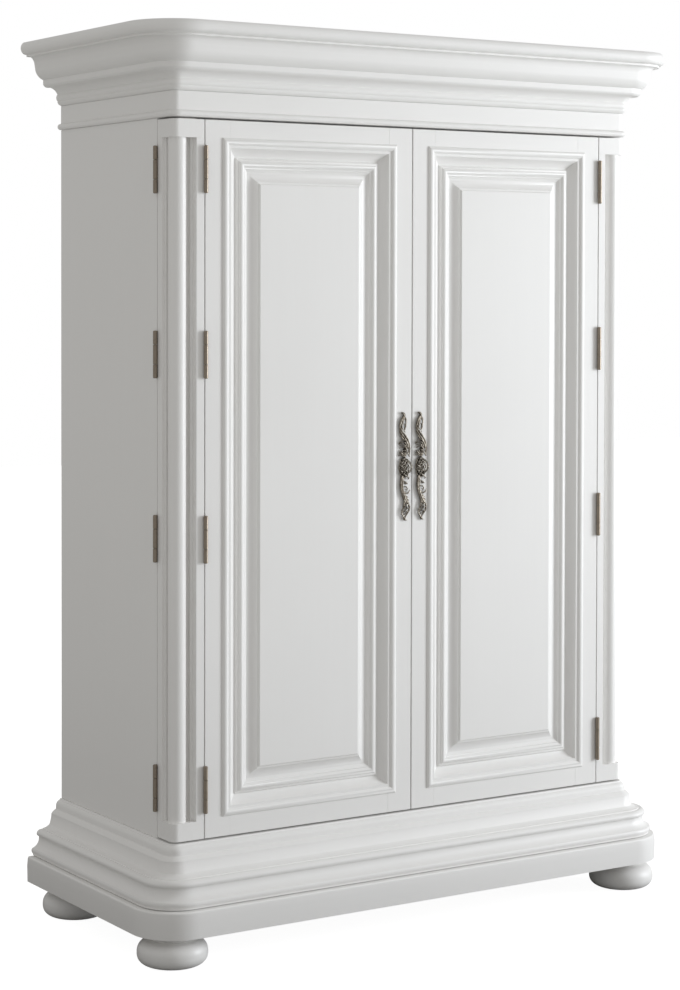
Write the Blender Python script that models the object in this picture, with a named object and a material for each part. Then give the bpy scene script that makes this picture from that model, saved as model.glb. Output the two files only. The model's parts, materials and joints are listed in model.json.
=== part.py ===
"""An armoire with wrap-around doors, made of separate pieces.

Each front corner post is hinged to the case side, and each door is hinged to its post, so a door
can turn a quarter with its post and then fold back flat along the side of the case.
The object stands on z = 0 with its front towards -Y. All sizes are in metres.
"""

import math

import bmesh
import bpy
from mathutils import Matrix, Vector

# ---------------------------------------------------------------- driving dimensions
CASE_WIDTH = 1.1955  # outer face of one side panel to the other
CASE_DEPTH = 0.520  # front face of the posts to the back of the case
OPENING_HEIGHT = 1.5033  # top of the base moulding to the underside of the frieze

TOUCH = 0.0003  # clearance between pieces that touch
CORNER_RADIUS = 0.015  # rounded front corners of posts, frieze, crown and base
CORNER_STEPS = 6

FOOT_HEIGHT = 0.068
FOOT_SEGMENTS = 22
FOOT_RADIUS = 0.074
FOOT_FLAT_RADIUS = 0.045
FOOT_COLLAR_RADIUS = 0.051
FOOT_COLLAR_HEIGHT = 0.008
FOOT_COLLAR_CHAMFER = 0.003
FOOT_NECK_RADIUS = 0.045
FOOT_NECK_DROP = 0.006  # collar to the narrowest part of the neck
BUN_STEPS = 8
BUN_MIDDLE = 0.47  # height of the widest part, as a share of the bun's height
BUN_FULLNESS = 2.4  # 2 is an ellipse, more is squarer
FOOT_REAR_INSET = 0.074  # back of the case to the axis of a rear foot

PLINTH_HEIGHT = 0.0564
PLINTH_WALL = 0.058  # how far the plinth reaches in behind the case faces
BASE_HEIGHT = 0.1210
BASE_WALL = 0.045
FRIEZE_HEIGHT = 0.0534
FRIEZE_WALL = 0.040
CROWN_WALL = 0.022

SIDE_THICKNESS = 0.020
BOARD_THICKNESS = 0.020  # case top and case bottom
BACK_THICKNESS = 0.012
SHELF_THICKNESS = 0.018
SHELF_DROP = 0.270  # underside of the case top to the top of the shelf
SHELF_SETBACK = 0.090  # front of the case to the front edge of the shelf
HOUSING_DEPTH = 0.006  # groove in each side that carries the shelf
RAIL_RADIUS = 0.0125
RAIL_DROP = 0.050  # underside of the shelf to the axis of the clothes rail
RAIL_SOCKET_DEPTH = 0.010
RAIL_SEGMENTS = 20

POST_WIDTH = 0.0745  # along the front
POST_DEPTH = 0.0655  # along the side
POST_BLOCK_HEIGHT = 0.038  # plain block at the head and the foot of a post
POST_FRONT_STRIP = 0.0185  # flat strip left beside the door
POST_SIDE_STRIP = 0.0195  # flat strip left beside the case side
COLUMN_RADIUS = 0.0190
COLUMN_INSET = 0.0230  # from both outer faces to the axis of the column
COLUMN_STEPS = 18
COLUMN_POCKET = 0.008  # space between the column and the wall of the pocket beside it
COLUMN_LEDGE = 0.0155  # depth of the first step, between the front strip and the pocket
COLUMN_STEP = 0.0045  # width of the narrow step where the column dies into the side strip
COLUMN_STEP_DEPTH = 0.006

SIDE_GAP = 0.0026  # between a side panel and its post, and between a post and its door
MEETING_GAP = 0.0030
DOOR_GAP_ABOVE = 0.0040
DOOR_GAP_BELOW = 0.0035
DOOR_THICKNESS = 0.028
STILE_WIDTH = 0.060
STILE_FLAT = 0.040  # visible flat face of a stile
TOP_RAIL_FLAT = 0.036  # visible flat face of the top rail of a door
BOTTOM_RAIL_FLAT = 0.0408
PANEL_BACK = 0.024  # from the front face of the door to the back of the panel
PANEL_LAP = 0.010  # how far the moulding laps over the edge of the panel

BARREL_RADIUS = 0.0046
BARREL_STANDOFF = 0.0050  # from the face of the wood to the hinge axis
HINGE_LENGTH = 0.098
HINGE_OUTER_KNUCKLE = 0.0285
LEAF_THICKNESS = 0.0014
LEAF_DEPTH = 0.0175
LEAF_SPACE = 0.0002  # half the space between two closed leaves
PIN_RADIUS = 0.0017
PIN_HEAD_RADIUS = 0.0034
PIN_HEAD_HEIGHT = 0.0006
PIN_BITE = 0.002  # how far pin and heads run on inside the knuckles
BARREL_SEGMENTS = 12
PIN_SEGMENTS = 8
KNUCKLE_PLAY = 0.0004
KNUCKLE_WEB = 0.0022  # from the hinge axis to where a leaf joins its knuckle
HINGE_HEAD_INSET = 0.1071  # top of the door opening to the middle of the top hinge
HINGE_FOOT_INSET = 0.1063
HINGE_PITCH = 0.384  # spacing of the upper three hinges

HANDLE_HEIGHT = 0.242
HANDLE_INSET = 0.0206  # meeting edge of the door to the axis of the handle
HANDLE_LIFT = 0.7606  # top of the base moulding to the middle of the handle
HANDLE_THICKNESS = 0.0050
HANDLE_SWING = 0.0035  # sway of the plate to either side of its axis
HANDLE_TIP = 0.0018  # half width at the two ends
HANDLE_SWELL = 0.0062
HANDLE_WAVE = 0.0015
HANDLE_WAVES = 3
HANDLE_FULLNESS = 0.6  # less is blunter at the two ends
HANDLE_STEPS = 22
ROSETTE_RADIUS = 0.0140
ROSETTE_HEIGHT = 0.0110
ROSETTE_TAPER = 0.75  # radius at its front over radius at its back
ROSETTE_SEGMENTS = 20
PULL_HEIGHT = 0.0340
PULL_REACH = 0.0330  # from the door face to the far side of the loop
PULL_WIRE = 0.0022  # radius
PULL_STEPS = 12
PULL_SIDES = 8

CATCH_SIZE = Vector((0.062, 0.018, 0.014))
CATCH_SPACE = 0.0008  # between the catch and the closed doors
CATCH_EDGE = 0.001
CUT_OVER = 0.010  # how far a cutter runs on past the face that it opens

# Outlines as (projection, run, bulge) steps: each step is a corner, reached by a straight line or,
# where it has a bulge, by an arc. A bulge is positive where the wood swells and negative in a hollow.
CROWN_OUTLINE = (
    (0.0000, 0.0000, 0.0),
    (0.0020, 0.0010, 0.0),
    (0.0090, 0.0092, 0.30),  # bead
    (0.0084, 0.0100, 0.0),
    (0.0090, 0.0248, 0.42),  # torus
    (0.0095, 0.0260, 0.0),
    (0.0370, 0.0395, -0.35),  # cove
    (0.0440, 0.0455, 0.20),
    (0.0440, 0.0556, 0.0),  # fillet
    (0.0630, 0.0760, 0.25),  # ovolo
    (0.0650, 0.0886, 0.0),
    (0.0680, 0.0980, -0.10),
    (0.0846, 0.1050, -0.40),
    (0.0846, 0.1088, 0.0),
    (0.0915, 0.1105, 0.0),
    (0.0915, 0.1366, 0.555),  # nosing
)
FRIEZE_OUTLINE = (
    (0.003, 0.000, 0.0),
    (0.003, 0.013, 0.85),  # astragal
    (0.000, 0.014, 0.0),
    (0.000, FRIEZE_HEIGHT, 0.0),
)
BASE_OUTLINE = (
    (0.0660, 0.0000, 0.0),
    (0.0705, 0.0015, 0.0),
    (0.0710, 0.0055, 0.0),
    (0.0720, 0.0175, 0.45),  # torus
    (0.0560, 0.0405, -0.37),  # scotia
    (0.0565, 0.0425, 0.0),
    (0.0605, 0.0520, 0.50),  # bead
    (0.0470, 0.0572, 0.35),
    (0.0460, 0.0590, 0.0),
    (0.0300, 0.0660, -0.15),  # cove
    (0.0250, 0.0870, -0.06),
    (0.0250, 0.0900, 0.0),
    (0.0140, 0.0989, 0.10),
    (0.0135, 0.1069, 0.0),  # fillet
    (0.0050, 0.1180, 0.30),  # ovolo
    (0.0035, BASE_HEIGHT, 0.0),
)
PLINTH_OUTLINE = (
    (0.0840, 0.0000, 0.0),
    (0.0847, 0.0370, 0.0),
    (0.0834, 0.0510, 0.0),
    (0.0800, PLINTH_HEIGHT, 0.35),
)
# Door moulding: projection in front of the door face, run inwards from the edge of the flat.
MOULDING_OUTLINE = (
    (0.0004, 0.0003, 0.0),
    (0.0008, 0.0155, 0.62),  # torus
    (0.0006, 0.0210, 0.0),  # fillet
    (-0.0167, 0.0394, -0.18),  # hollow
    (-0.0120, 0.0435, -0.15),
    (-0.0116, 0.0470, 0.0),  # fillet
    (-0.0110, 0.0585, 0.60),  # bead
    (-0.0122, 0.0605, 0.0),
    (-0.0148, 0.0648, 0.30),
    (-0.0175, 0.0695, 0.0),
)
# Panel: the same, from the inner edge of the moulding.
PANEL_OUTLINE = (
    (-0.0178, 0.0000, 0.0),
    (-0.0178, 0.0010, 0.0),
    (-0.0082, 0.0205, -0.25),  # hollow bevel
    (-0.0076, 0.0235, 0.0),
    (-0.0048, 0.0265, 0.0),
)


# ---------------------------------------------------------------- outlines
def swept(steps, arc_steps=6):
    """Turns (projection, run, bulge) steps into points. The wood is on the left of the line, and
    a bulge is the rise of the arc to its right over half its chord."""
    points = [tuple(steps[0][:2])]
    for x, y, bulge in steps[1:]:
        if bulge:
            start, end = Vector(points[-1]), Vector((x, y))
            points += arc_points(start, end, bulge, arc_steps)
        points.append((x, y))
    return points


def arc_points(start, end, bulge, steps):
    """The inner points of the circular arc from start to end."""
    half = (end - start).length / 2
    rise = abs(bulge) * half
    radius = (half * half + rise * rise) / (2 * rise)
    along = (end - start).normalized()
    outwards = Vector((along.y, -along.x)) * math.copysign(1.0, bulge)
    centre = (start + end) / 2 + outwards * (rise - radius)
    reach = math.asin(half / radius)
    points = []
    for i in range(1, steps):
        angle = reach * (2 * i / steps - 1)
        spot = centre + along * (radius * math.sin(angle)) + outwards * (radius * math.cos(angle))
        points.append((spot.x, spot.y))
    return points


# ---------------------------------------------------------------- places worked out from them
CROWN_OUT = max(projection for projection, run in swept(CROWN_OUTLINE))
OVERALL_DEPTH = CASE_DEPTH + CROWN_OUT
HALF_WIDTH = CASE_WIDTH / 2
FRONT = CROWN_OUT - OVERALL_DEPTH / 2
BACK = FRONT + CASE_DEPTH

PLINTH_FOOT = FOOT_HEIGHT + TOUCH
BASE_FOOT = PLINTH_FOOT + PLINTH_HEIGHT + TOUCH
BASE_TOP = BASE_FOOT + BASE_HEIGHT
CASE_FOOT = BASE_TOP + TOUCH
FRIEZE_FOOT = BASE_TOP + OPENING_HEIGHT
CASE_HEAD = FRIEZE_FOOT - TOUCH
CROWN_FOOT = FRIEZE_FOOT + FRIEZE_HEIGHT + TOUCH

LEAF_FOOT = BASE_TOP + DOOR_GAP_BELOW  # underside of posts and doors
LEAF_HEAD = FRIEZE_FOOT - DOOR_GAP_ABOVE
DOOR_HEIGHT = LEAF_HEAD - LEAF_FOOT
DOOR_EDGE = POST_WIDTH + SIDE_GAP  # side face of the case to the hinged edge of the door
DOOR_WIDTH = HALF_WIDTH - MEETING_GAP / 2 - DOOR_EDGE
SIDE_FRONT = POST_DEPTH + SIDE_GAP  # front of the case to the front edge of a side panel

POST_AXIS = (-BARREL_STANDOFF, POST_DEPTH + SIDE_GAP / 2)  # from the corner: across, back
DOOR_AXIS = (POST_WIDTH + SIDE_GAP / 2, -BARREL_STANDOFF)
HINGE_HEIGHTS = (
    BASE_TOP + HINGE_FOOT_INSET,
    FRIEZE_FOOT - HINGE_HEAD_INSET - 2 * HINGE_PITCH,
    FRIEZE_FOOT - HINGE_HEAD_INSET - HINGE_PITCH,
    FRIEZE_FOOT - HINGE_HEAD_INSET,
)
MORTISE_REACH = LEAF_SPACE + LEAF_THICKNESS + TOUCH  # from the middle of the gap
SHELF_TOP = CASE_HEAD - BOARD_THICKNESS - SHELF_DROP
RAIL_HEIGHT = SHELF_TOP - SHELF_THICKNESS - RAIL_DROP
INNER_BACK = BACK - BACK_THICKNESS - TOUCH
RAIL_DEPTH = (FRONT + SIDE_FRONT + INNER_BACK) / 2


# ---------------------------------------------------------------- modelling helpers
def clear_scene():
    for thing in list(bpy.data.objects):
        bpy.data.objects.remove(thing, do_unlink=True)


def make_material(name, colour, roughness, metallic=0.0):
    material = bpy.data.materials.new(name)
    material.use_nodes = True
    shader = material.node_tree.nodes["Principled BSDF"]
    shader.inputs["Base Color"].default_value = (*colour, 1.0)
    shader.inputs["Roughness"].default_value = roughness
    shader.inputs["Metallic"].default_value = metallic
    material.diffuse_color = (*colour, 1.0)
    return material


def finish_mesh(bm, name):
    """Welds coincident points, turns the faces outwards and makes the mesh."""
    bmesh.ops.remove_doubles(bm, verts=bm.verts, dist=1e-6)
    bmesh.ops.dissolve_degenerate(bm, edges=bm.edges, dist=1e-7)
    bmesh.ops.recalc_face_normals(bm, faces=bm.faces)
    mesh = bpy.data.meshes.new(name)
    bm.to_mesh(mesh)
    bm.free()
    return mesh


def add_piece(name, mesh, material, pivot=None, smooth=None):
    """Adds one piece. Its mesh is in world space, and it hangs on its joint's empty, if any."""
    if not mesh.materials:
        mesh.materials.append(material)
    if smooth is not None:
        mesh.shade_smooth()
        mesh.set_sharp_from_angle(angle=math.radians(smooth))
    piece = bpy.data.objects.new(name, mesh)
    bpy.context.scene.collection.objects.link(piece)
    if pivot is not None:
        bpy.context.view_layer.update()
        piece.parent = pivot
        piece.matrix_parent_inverse = pivot.matrix_world.inverted()
    return piece


def combine(piece, operation, mesh):
    """Gives a piece a Boolean with the solids of one mesh, which becomes a hidden helper."""
    helper = bpy.data.objects.new(mesh.name, mesh)
    helper.hide_render = True
    helper.display_type = "WIRE"
    bpy.context.scene.collection.objects.link(helper)
    boolean = piece.modifiers.new(operation.lower(), "BOOLEAN")
    boolean.operation = operation
    boolean.solver = "EXACT"
    boolean.object = helper
    return helper


def evaluated_copy(piece, name):
    """The piece's shape after its modifiers, as a mesh of its own."""
    bpy.context.view_layer.update()
    graph = bpy.context.evaluated_depsgraph_get()
    mesh = bpy.data.meshes.new_from_object(piece.evaluated_get(graph))
    mesh.name = name
    return mesh


def add_box(bm, low, high):
    centre = (Vector(low) + Vector(high)) / 2
    size = Vector(high) - Vector(low)
    place = Matrix.Translation(centre) @ Matrix.Diagonal((*size, 1.0))
    bmesh.ops.create_cube(bm, size=1.0, matrix=place)


def box_mesh(name, low, high):
    bm = bmesh.new()
    add_box(bm, low, high)
    return finish_mesh(bm, name)


def add_drum(bm, start, end, radius, segments, end_radius=None):
    """A cylinder from start to end, or a cone frustum where it has an end radius."""
    start, end = Vector(start), Vector(end)
    turn = (end - start).to_track_quat("Z", "Y").to_matrix().to_4x4()
    bmesh.ops.create_cone(
        bm,
        cap_ends=True,
        segments=segments,
        radius1=radius,
        radius2=radius if end_radius is None else end_radius,
        depth=(end - start).length,
        matrix=Matrix.Translation((start + end) / 2) @ turn,
    )


def add_prism(bm, outline, place):
    """Extrudes a closed outline of (across, along) points. place(across, along, end) gives a
    point in space, with end 0 at one cap and 1 at the other."""
    rings = [[bm.verts.new(place(*point, end)) for point in outline] for end in (0, 1)]
    bm.faces.new(rings[0])
    bm.faces.new(list(reversed(rings[1])))
    count = len(outline)
    for i in range(count):
        j = (i + 1) % count
        bm.faces.new((rings[0][j], rings[0][i], rings[1][i], rings[1][j]))


def corner_point(side, projection, turn):
    """Plan position on a front corner. turn runs from 0, facing sideways, to 1, facing front."""
    radius = CORNER_RADIUS + projection
    if radius <= 0:
        return side * (HALF_WIDTH + projection), FRONT - projection
    angle = turn * math.pi / 2
    x = HALF_WIDTH - CORNER_RADIUS + radius * math.cos(angle)
    y = FRONT + CORNER_RADIUS - radius * math.sin(angle)
    return side * x, y


def wrapped_ring(name, outline, wall, foot):
    """A frame around the case: moulded on the front and sides, flat across the back."""
    section = outline + [(-wall, outline[-1][1]), (-wall, outline[0][1])]
    turns = [i / CORNER_STEPS for i in range(CORNER_STEPS + 1)]
    stations = [(-1, None)] + [(-1, turn) for turn in turns]
    stations += [(1, turn) for turn in reversed(turns)] + [(1, None)]
    bm = bmesh.new()
    rings = []
    for side, turn in stations:
        ring = []
        for projection, rise in section:
            if turn is None:
                x, y = side * (HALF_WIDTH + projection), BACK + min(projection, 0.0)
            else:
                x, y = corner_point(side, projection, turn)
            ring.append(bm.verts.new((x, y, foot + rise)))
        rings.append(ring)
    join_loops(bm, rings, closed=True)
    return finish_mesh(bm, name)


def join_loops(bm, loops, closed):
    """Skins a row of closed loops, and joins the last to the first or else caps both."""
    pairs = list(zip(loops, loops[1:]))
    if closed:
        pairs.append((loops[-1], loops[0]))
    else:
        bm.faces.new(loops[0])
        bm.faces.new(loops[-1])
    for a, b in pairs:
        for i in range(len(a)):
            j = (i + 1) % len(a)
            bm.faces.new((a[i], a[j], b[j], b[i]))


def mitred(name, section, low, high, closed):
    """Carries a section round a rectangle in the face of a door, with mitred corners. section
    holds (height, inset) points, and low and high are the outer corners as (x, z). A closed
    section makes a frame, and an open one makes a panel."""
    corners = ((low[0], low[1], 1, 1), (high[0], low[1], -1, 1))
    corners += ((high[0], high[1], -1, -1), (low[0], high[1], 1, -1))
    bm = bmesh.new()
    loops = []
    for height, inset in section:
        places = [(x + across * inset, FRONT - height, z + up * inset) for x, z, across, up in corners]
        loops.append([bm.verts.new(place) for place in places])
    join_loops(bm, loops, closed)
    return finish_mesh(bm, name)


def turned(name, outline, centre, segments):
    """A solid of revolution about a vertical axis through centre; outline is (radius, z), open."""
    bm = bmesh.new()
    verts = [bm.verts.new((centre[0] + radius, centre[1], z)) for radius, z in outline]
    edges = [bm.edges.new(pair) for pair in zip(verts, verts[1:])]
    bmesh.ops.spin(
        bm,
        geom=verts + edges,
        cent=(centre[0], centre[1], 0.0),
        axis=(0, 0, 1),
        angle=2 * math.pi,
        steps=segments,
        use_duplicate=False,
        use_merge=True,
    )
    bmesh.ops.remove_doubles(bm, verts=bm.verts, dist=1e-6)
    return finish_mesh(bm, name)


# ---------------------------------------------------------------- the case
def foot_outline():
    """Half section of a bun foot as (radius, z), from the middle of its top down to its flat."""
    neck = FOOT_HEIGHT - FOOT_COLLAR_HEIGHT - FOOT_NECK_DROP
    middle = neck * BUN_MIDDLE
    outline = [
        (0.0, FOOT_HEIGHT),
        (FOOT_COLLAR_RADIUS - FOOT_COLLAR_CHAMFER, FOOT_HEIGHT),
        (FOOT_COLLAR_RADIUS, FOOT_HEIGHT - FOOT_COLLAR_CHAMFER),
        (FOOT_COLLAR_RADIUS, FOOT_HEIGHT - FOOT_COLLAR_HEIGHT),
        (FOOT_NECK_RADIUS, neck),
    ]
    for i in range(1, BUN_STEPS + 1):
        z = neck * (1 - i / BUN_STEPS)
        if z > middle:
            share, end = (z - middle) / (neck - middle), FOOT_NECK_RADIUS
        else:
            share, end = (middle - z) / middle, FOOT_FLAT_RADIUS
        swell = max(0.0, 1 - share**BUN_FULLNESS) ** 0.5
        outline.append((end + (FOOT_RADIUS - end) * swell, z))
    return outline + [(0.0, 0.0)]


def build_feet(wood):
    spots = {
        "foot_front_left": (-HALF_WIDTH, FRONT),
        "foot_front_right": (HALF_WIDTH, FRONT),
        "foot_rear_left": (-HALF_WIDTH, BACK - FOOT_REAR_INSET),
        "foot_rear_right": (HALF_WIDTH, BACK - FOOT_REAR_INSET),
    }
    for name, centre in spots.items():
        add_piece(name, turned(name, foot_outline(), centre, FOOT_SEGMENTS), wood, smooth=40)


def build_rings(wood):
    rings = (
        ("plinth_rail", PLINTH_OUTLINE, PLINTH_WALL, PLINTH_FOOT),
        ("base_moulding", BASE_OUTLINE, BASE_WALL, BASE_FOOT),
        ("frieze", FRIEZE_OUTLINE, FRIEZE_WALL, FRIEZE_FOOT),
        ("crown", CROWN_OUTLINE, CROWN_WALL, CROWN_FOOT),
    )
    for name, outline, wall, foot in rings:
        mesh = wrapped_ring(name, swept(outline), wall, foot)
        add_piece(name, mesh, wood, smooth=35)


def board_outline():
    """Plan of the case top and bottom: between the sides, and let in round the posts."""
    wide = HALF_WIDTH - SIDE_THICKNESS - TOUCH
    narrow = HALF_WIDTH - POST_WIDTH - SIDE_GAP
    front = FRONT + DOOR_THICKNESS + CATCH_SPACE
    notch = FRONT + SIDE_FRONT
    half = [(narrow, front), (narrow, notch), (wide, notch), (wide, INNER_BACK)]
    return [(-x, y) for x, y in reversed(half)] + half


def build_boards(wood, bare_wood):
    for name, foot in (("case_bottom", CASE_FOOT), ("case_top", CASE_HEAD - BOARD_THICKNESS)):
        bm = bmesh.new()
        add_prism(bm, board_outline(), lambda x, y, end, foot=foot: (x, y, foot + end * BOARD_THICKNESS))
        add_piece(name, finish_mesh(bm, name), bare_wood)
    inner = HALF_WIDTH - SIDE_THICKNESS
    low = (-inner + TOUCH, BACK - BACK_THICKNESS, CASE_FOOT)
    high = (inner - TOUCH, BACK, CASE_HEAD)
    add_piece("back_panel", box_mesh("back_panel", low, high), wood)
    reach = inner + HOUSING_DEPTH - TOUCH
    low = (-reach, FRONT + SHELF_SETBACK, SHELF_TOP - SHELF_THICKNESS)
    high = (reach, INNER_BACK, SHELF_TOP)
    add_piece("shelf", box_mesh("shelf", low, high), bare_wood)


def build_side(name, side, wood):
    """A side panel with its hinge mortises, its shelf housing and the socket of the rail."""
    near, far = sorted((side * HALF_WIDTH, side * (HALF_WIDTH - SIDE_THICKNESS)))
    mesh = box_mesh(name, (near, FRONT + SIDE_FRONT, CASE_FOOT), (far, BACK, CASE_HEAD))
    panel = add_piece(name, mesh, wood)
    bm = bmesh.new()
    inner = HALF_WIDTH - SIDE_THICKNESS
    near, far = sorted((side * (inner - CUT_OVER), side * (inner + HOUSING_DEPTH)))
    low = (near, FRONT + SHELF_SETBACK - TOUCH, SHELF_TOP - SHELF_THICKNESS - TOUCH)
    add_box(bm, low, (far, BACK + CUT_OVER, SHELF_TOP + TOUCH))
    for height in HINGE_HEIGHTS:
        add_mortise(bm, side, POST_AXIS, "side", height, 1)
    ends = [(side * x, RAIL_DEPTH, RAIL_HEIGHT) for x in (inner - CUT_OVER, inner + RAIL_SOCKET_DEPTH)]
    add_drum(bm, *ends, RAIL_RADIUS + TOUCH, RAIL_SEGMENTS)
    combine(panel, "DIFFERENCE", finish_mesh(bm, name + "_cutter"))


def build_clothes_rail(metal):
    reach = HALF_WIDTH - SIDE_THICKNESS + RAIL_SOCKET_DEPTH - TOUCH
    bm = bmesh.new()
    ends = [(x, RAIL_DEPTH, RAIL_HEIGHT) for x in (-reach, reach)]
    add_drum(bm, *ends, RAIL_RADIUS, RAIL_SEGMENTS)
    add_piece("clothes_rail", finish_mesh(bm, "clothes_rail"), metal, smooth=40)


def build_catch(metal):
    """The double magnet catch under the front edge of the case top."""
    high = Vector((CATCH_SIZE.x / 2, FRONT + DOOR_THICKNESS + CATCH_SPACE + CATCH_SIZE.y, 0))
    high.z = CASE_HEAD - BOARD_THICKNESS - TOUCH
    bm = bmesh.new()
    add_box(bm, high - CATCH_SIZE, high)
    bmesh.ops.bevel(bm, geom=list(bm.edges), offset=CATCH_EDGE, segments=1, affect="EDGES")
    add_piece("door_catch", finish_mesh(bm, "door_catch"), metal)


# ---------------------------------------------------------------- posts
def corner_place(side):
    """Maps (across, back) from a front corner of the case into the room."""
    return lambda across, back: (side * (HALF_WIDTH - across), FRONT + back)


def add_mortise(bm, side, axis, plane, height, into):
    """The shallow recess for one hinge leaf. plane says which face carries the barrel: on "side"
    the leaf runs across and into is +1 towards the back, on "front" it runs back and into is +1
    towards the middle of the case."""
    place = corner_place(side)
    half = HINGE_LENGTH / 2 + TOUCH
    run = (-CUT_OVER, LEAF_DEPTH + TOUCH)
    wide = sorted((0.0, into * MORTISE_REACH))
    if plane == "side":
        corners = [place(run[i], axis[1] + wide[i]) for i in (0, 1)]
    else:
        corners = [place(axis[0] + wide[i], run[i]) for i in (0, 1)]
    xs = sorted(corner[0] for corner in corners)
    ys = sorted(corner[1] for corner in corners)
    add_box(bm, (xs[0], ys[0], height - half), (xs[1], ys[1], height + half))


def post_outline():
    """Plan of the plain blocks of a post, as (across, back) from the corner."""
    outline = [(POST_WIDTH, 0.0), (POST_WIDTH, POST_DEPTH), (0.0, POST_DEPTH)]
    for i in range(CORNER_STEPS + 1):
        angle = i * math.pi / 2 / CORNER_STEPS
        across = CORNER_RADIUS * (1 - math.cos(angle))
        back = CORNER_RADIUS * (1 - math.sin(angle))
        outline.append((across, back))
    return outline


def column_cutter_outline():
    """Plan of what is cut away around the engaged column, between the two blocks."""
    front_edge = POST_WIDTH - POST_FRONT_STRIP
    side_edge = POST_DEPTH - POST_SIDE_STRIP
    pocket = COLUMN_INSET + COLUMN_RADIUS + COLUMN_POCKET
    outline = [(-CUT_OVER, -CUT_OVER), (front_edge, -CUT_OVER), (front_edge, COLUMN_LEDGE)]
    outline += [(pocket, COLUMN_LEDGE), (pocket, COLUMN_INSET)]
    root = side_edge - COLUMN_STEP  # where the side of the column dies into the post
    last = math.pi + math.asin((root - COLUMN_INSET) / COLUMN_RADIUS)
    for i in range(COLUMN_STEPS + 1):
        angle = last * i / COLUMN_STEPS
        across = COLUMN_INSET + COLUMN_RADIUS * math.cos(angle)
        back = COLUMN_INSET - COLUMN_RADIUS * math.sin(angle)
        outline.append((across, back))
    outline += [(COLUMN_STEP_DEPTH, root), (COLUMN_STEP_DEPTH, side_edge), (-CUT_OVER, side_edge)]
    return outline


def build_post(name, side, wood, pivot):
    place = corner_place(side)
    bm = bmesh.new()
    add_prism(bm, post_outline(), lambda a, b, end: (*place(a, b), LEAF_FOOT + end * DOOR_HEIGHT))
    post = add_piece(name, finish_mesh(bm, name), wood, pivot, smooth=35)
    bm = bmesh.new()
    span = DOOR_HEIGHT - 2 * POST_BLOCK_HEIGHT
    foot = LEAF_FOOT + POST_BLOCK_HEIGHT
    add_prism(bm, column_cutter_outline(), lambda a, b, end: (*place(a, b), foot + end * span))
    for height in HINGE_HEIGHTS:
        add_mortise(bm, side, POST_AXIS, "side", height, -1)
        add_mortise(bm, side, DOOR_AXIS, "front", height, -1)
    combine(post, "DIFFERENCE", finish_mesh(bm, name + "_cutter"))


# ---------------------------------------------------------------- doors
def build_door(word, side, wood, pivot):
    """One door: a flat frame, a moulding let into it, and a raised panel behind the moulding."""
    hinged = side * (HALF_WIDTH - DOOR_EDGE)
    meeting = side * MEETING_GAP / 2
    left, right = sorted((hinged, meeting))
    flat_low = (left + STILE_FLAT, LEAF_FOOT + BOTTOM_RAIL_FLAT)
    flat_high = (right - STILE_FLAT, LEAF_HEAD - TOP_RAIL_FLAT)
    hidden = STILE_WIDTH - STILE_FLAT  # part of a stile or a rail that the moulding covers

    name = word + "_door_frame"
    low = (left, FRONT, LEAF_FOOT)
    mesh = box_mesh(name, low, (right, FRONT + DOOR_THICKNESS, LEAF_HEAD))
    frame = add_piece(name, mesh, wood, pivot)
    bm = bmesh.new()
    low = (flat_low[0] + hidden, FRONT - CUT_OVER, flat_low[1] + hidden)
    high = (flat_high[0] - hidden, FRONT + DOOR_THICKNESS + CUT_OVER, flat_high[1] - hidden)
    add_box(bm, low, high)
    for height in HINGE_HEIGHTS:
        add_mortise(bm, side, DOOR_AXIS, "front", height, 1)
    combine(frame, "DIFFERENCE", finish_mesh(bm, name + "_cutter"))

    name = word + "_door_moulding"
    tip_height, tip = MOULDING_OUTLINE[-1][:2]
    panel_edge = tip - PANEL_LAP
    rebate = hidden + TOUCH
    section = swept(MOULDING_OUTLINE) + [(tip_height, panel_edge - TOUCH)]
    section += [(-PANEL_BACK, panel_edge - TOUCH), (-PANEL_BACK, rebate), (TOUCH, rebate)]
    section += [(TOUCH, MOULDING_OUTLINE[0][1])]
    mesh = mitred(name, section, flat_low, flat_high, closed=True)
    add_piece(name, mesh, wood, pivot, smooth=30)

    name = word + "_door_panel"
    section = [(-PANEL_BACK, panel_edge), (PANEL_OUTLINE[0][0], panel_edge)]
    section += [(height, tip + inset) for height, inset in swept(PANEL_OUTLINE)]
    mesh = mitred(name, section, flat_low, flat_high, closed=False)
    add_piece(name, mesh, wood, pivot, smooth=30)


# ---------------------------------------------------------------- hinges
def joined_mesh(name, steps):
    """Works (operation, mesh) steps into one mesh. The first step starts it off."""
    start = bpy.data.objects.new(name, steps[0][1])
    bpy.context.scene.collection.objects.link(start)
    helpers = [combine(start, operation, mesh) for operation, mesh in steps[1:]]
    mesh = evaluated_copy(start, name)
    for helper in [start] + helpers:
        bpy.data.objects.remove(helper, do_unlink=True)
    return mesh


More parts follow.
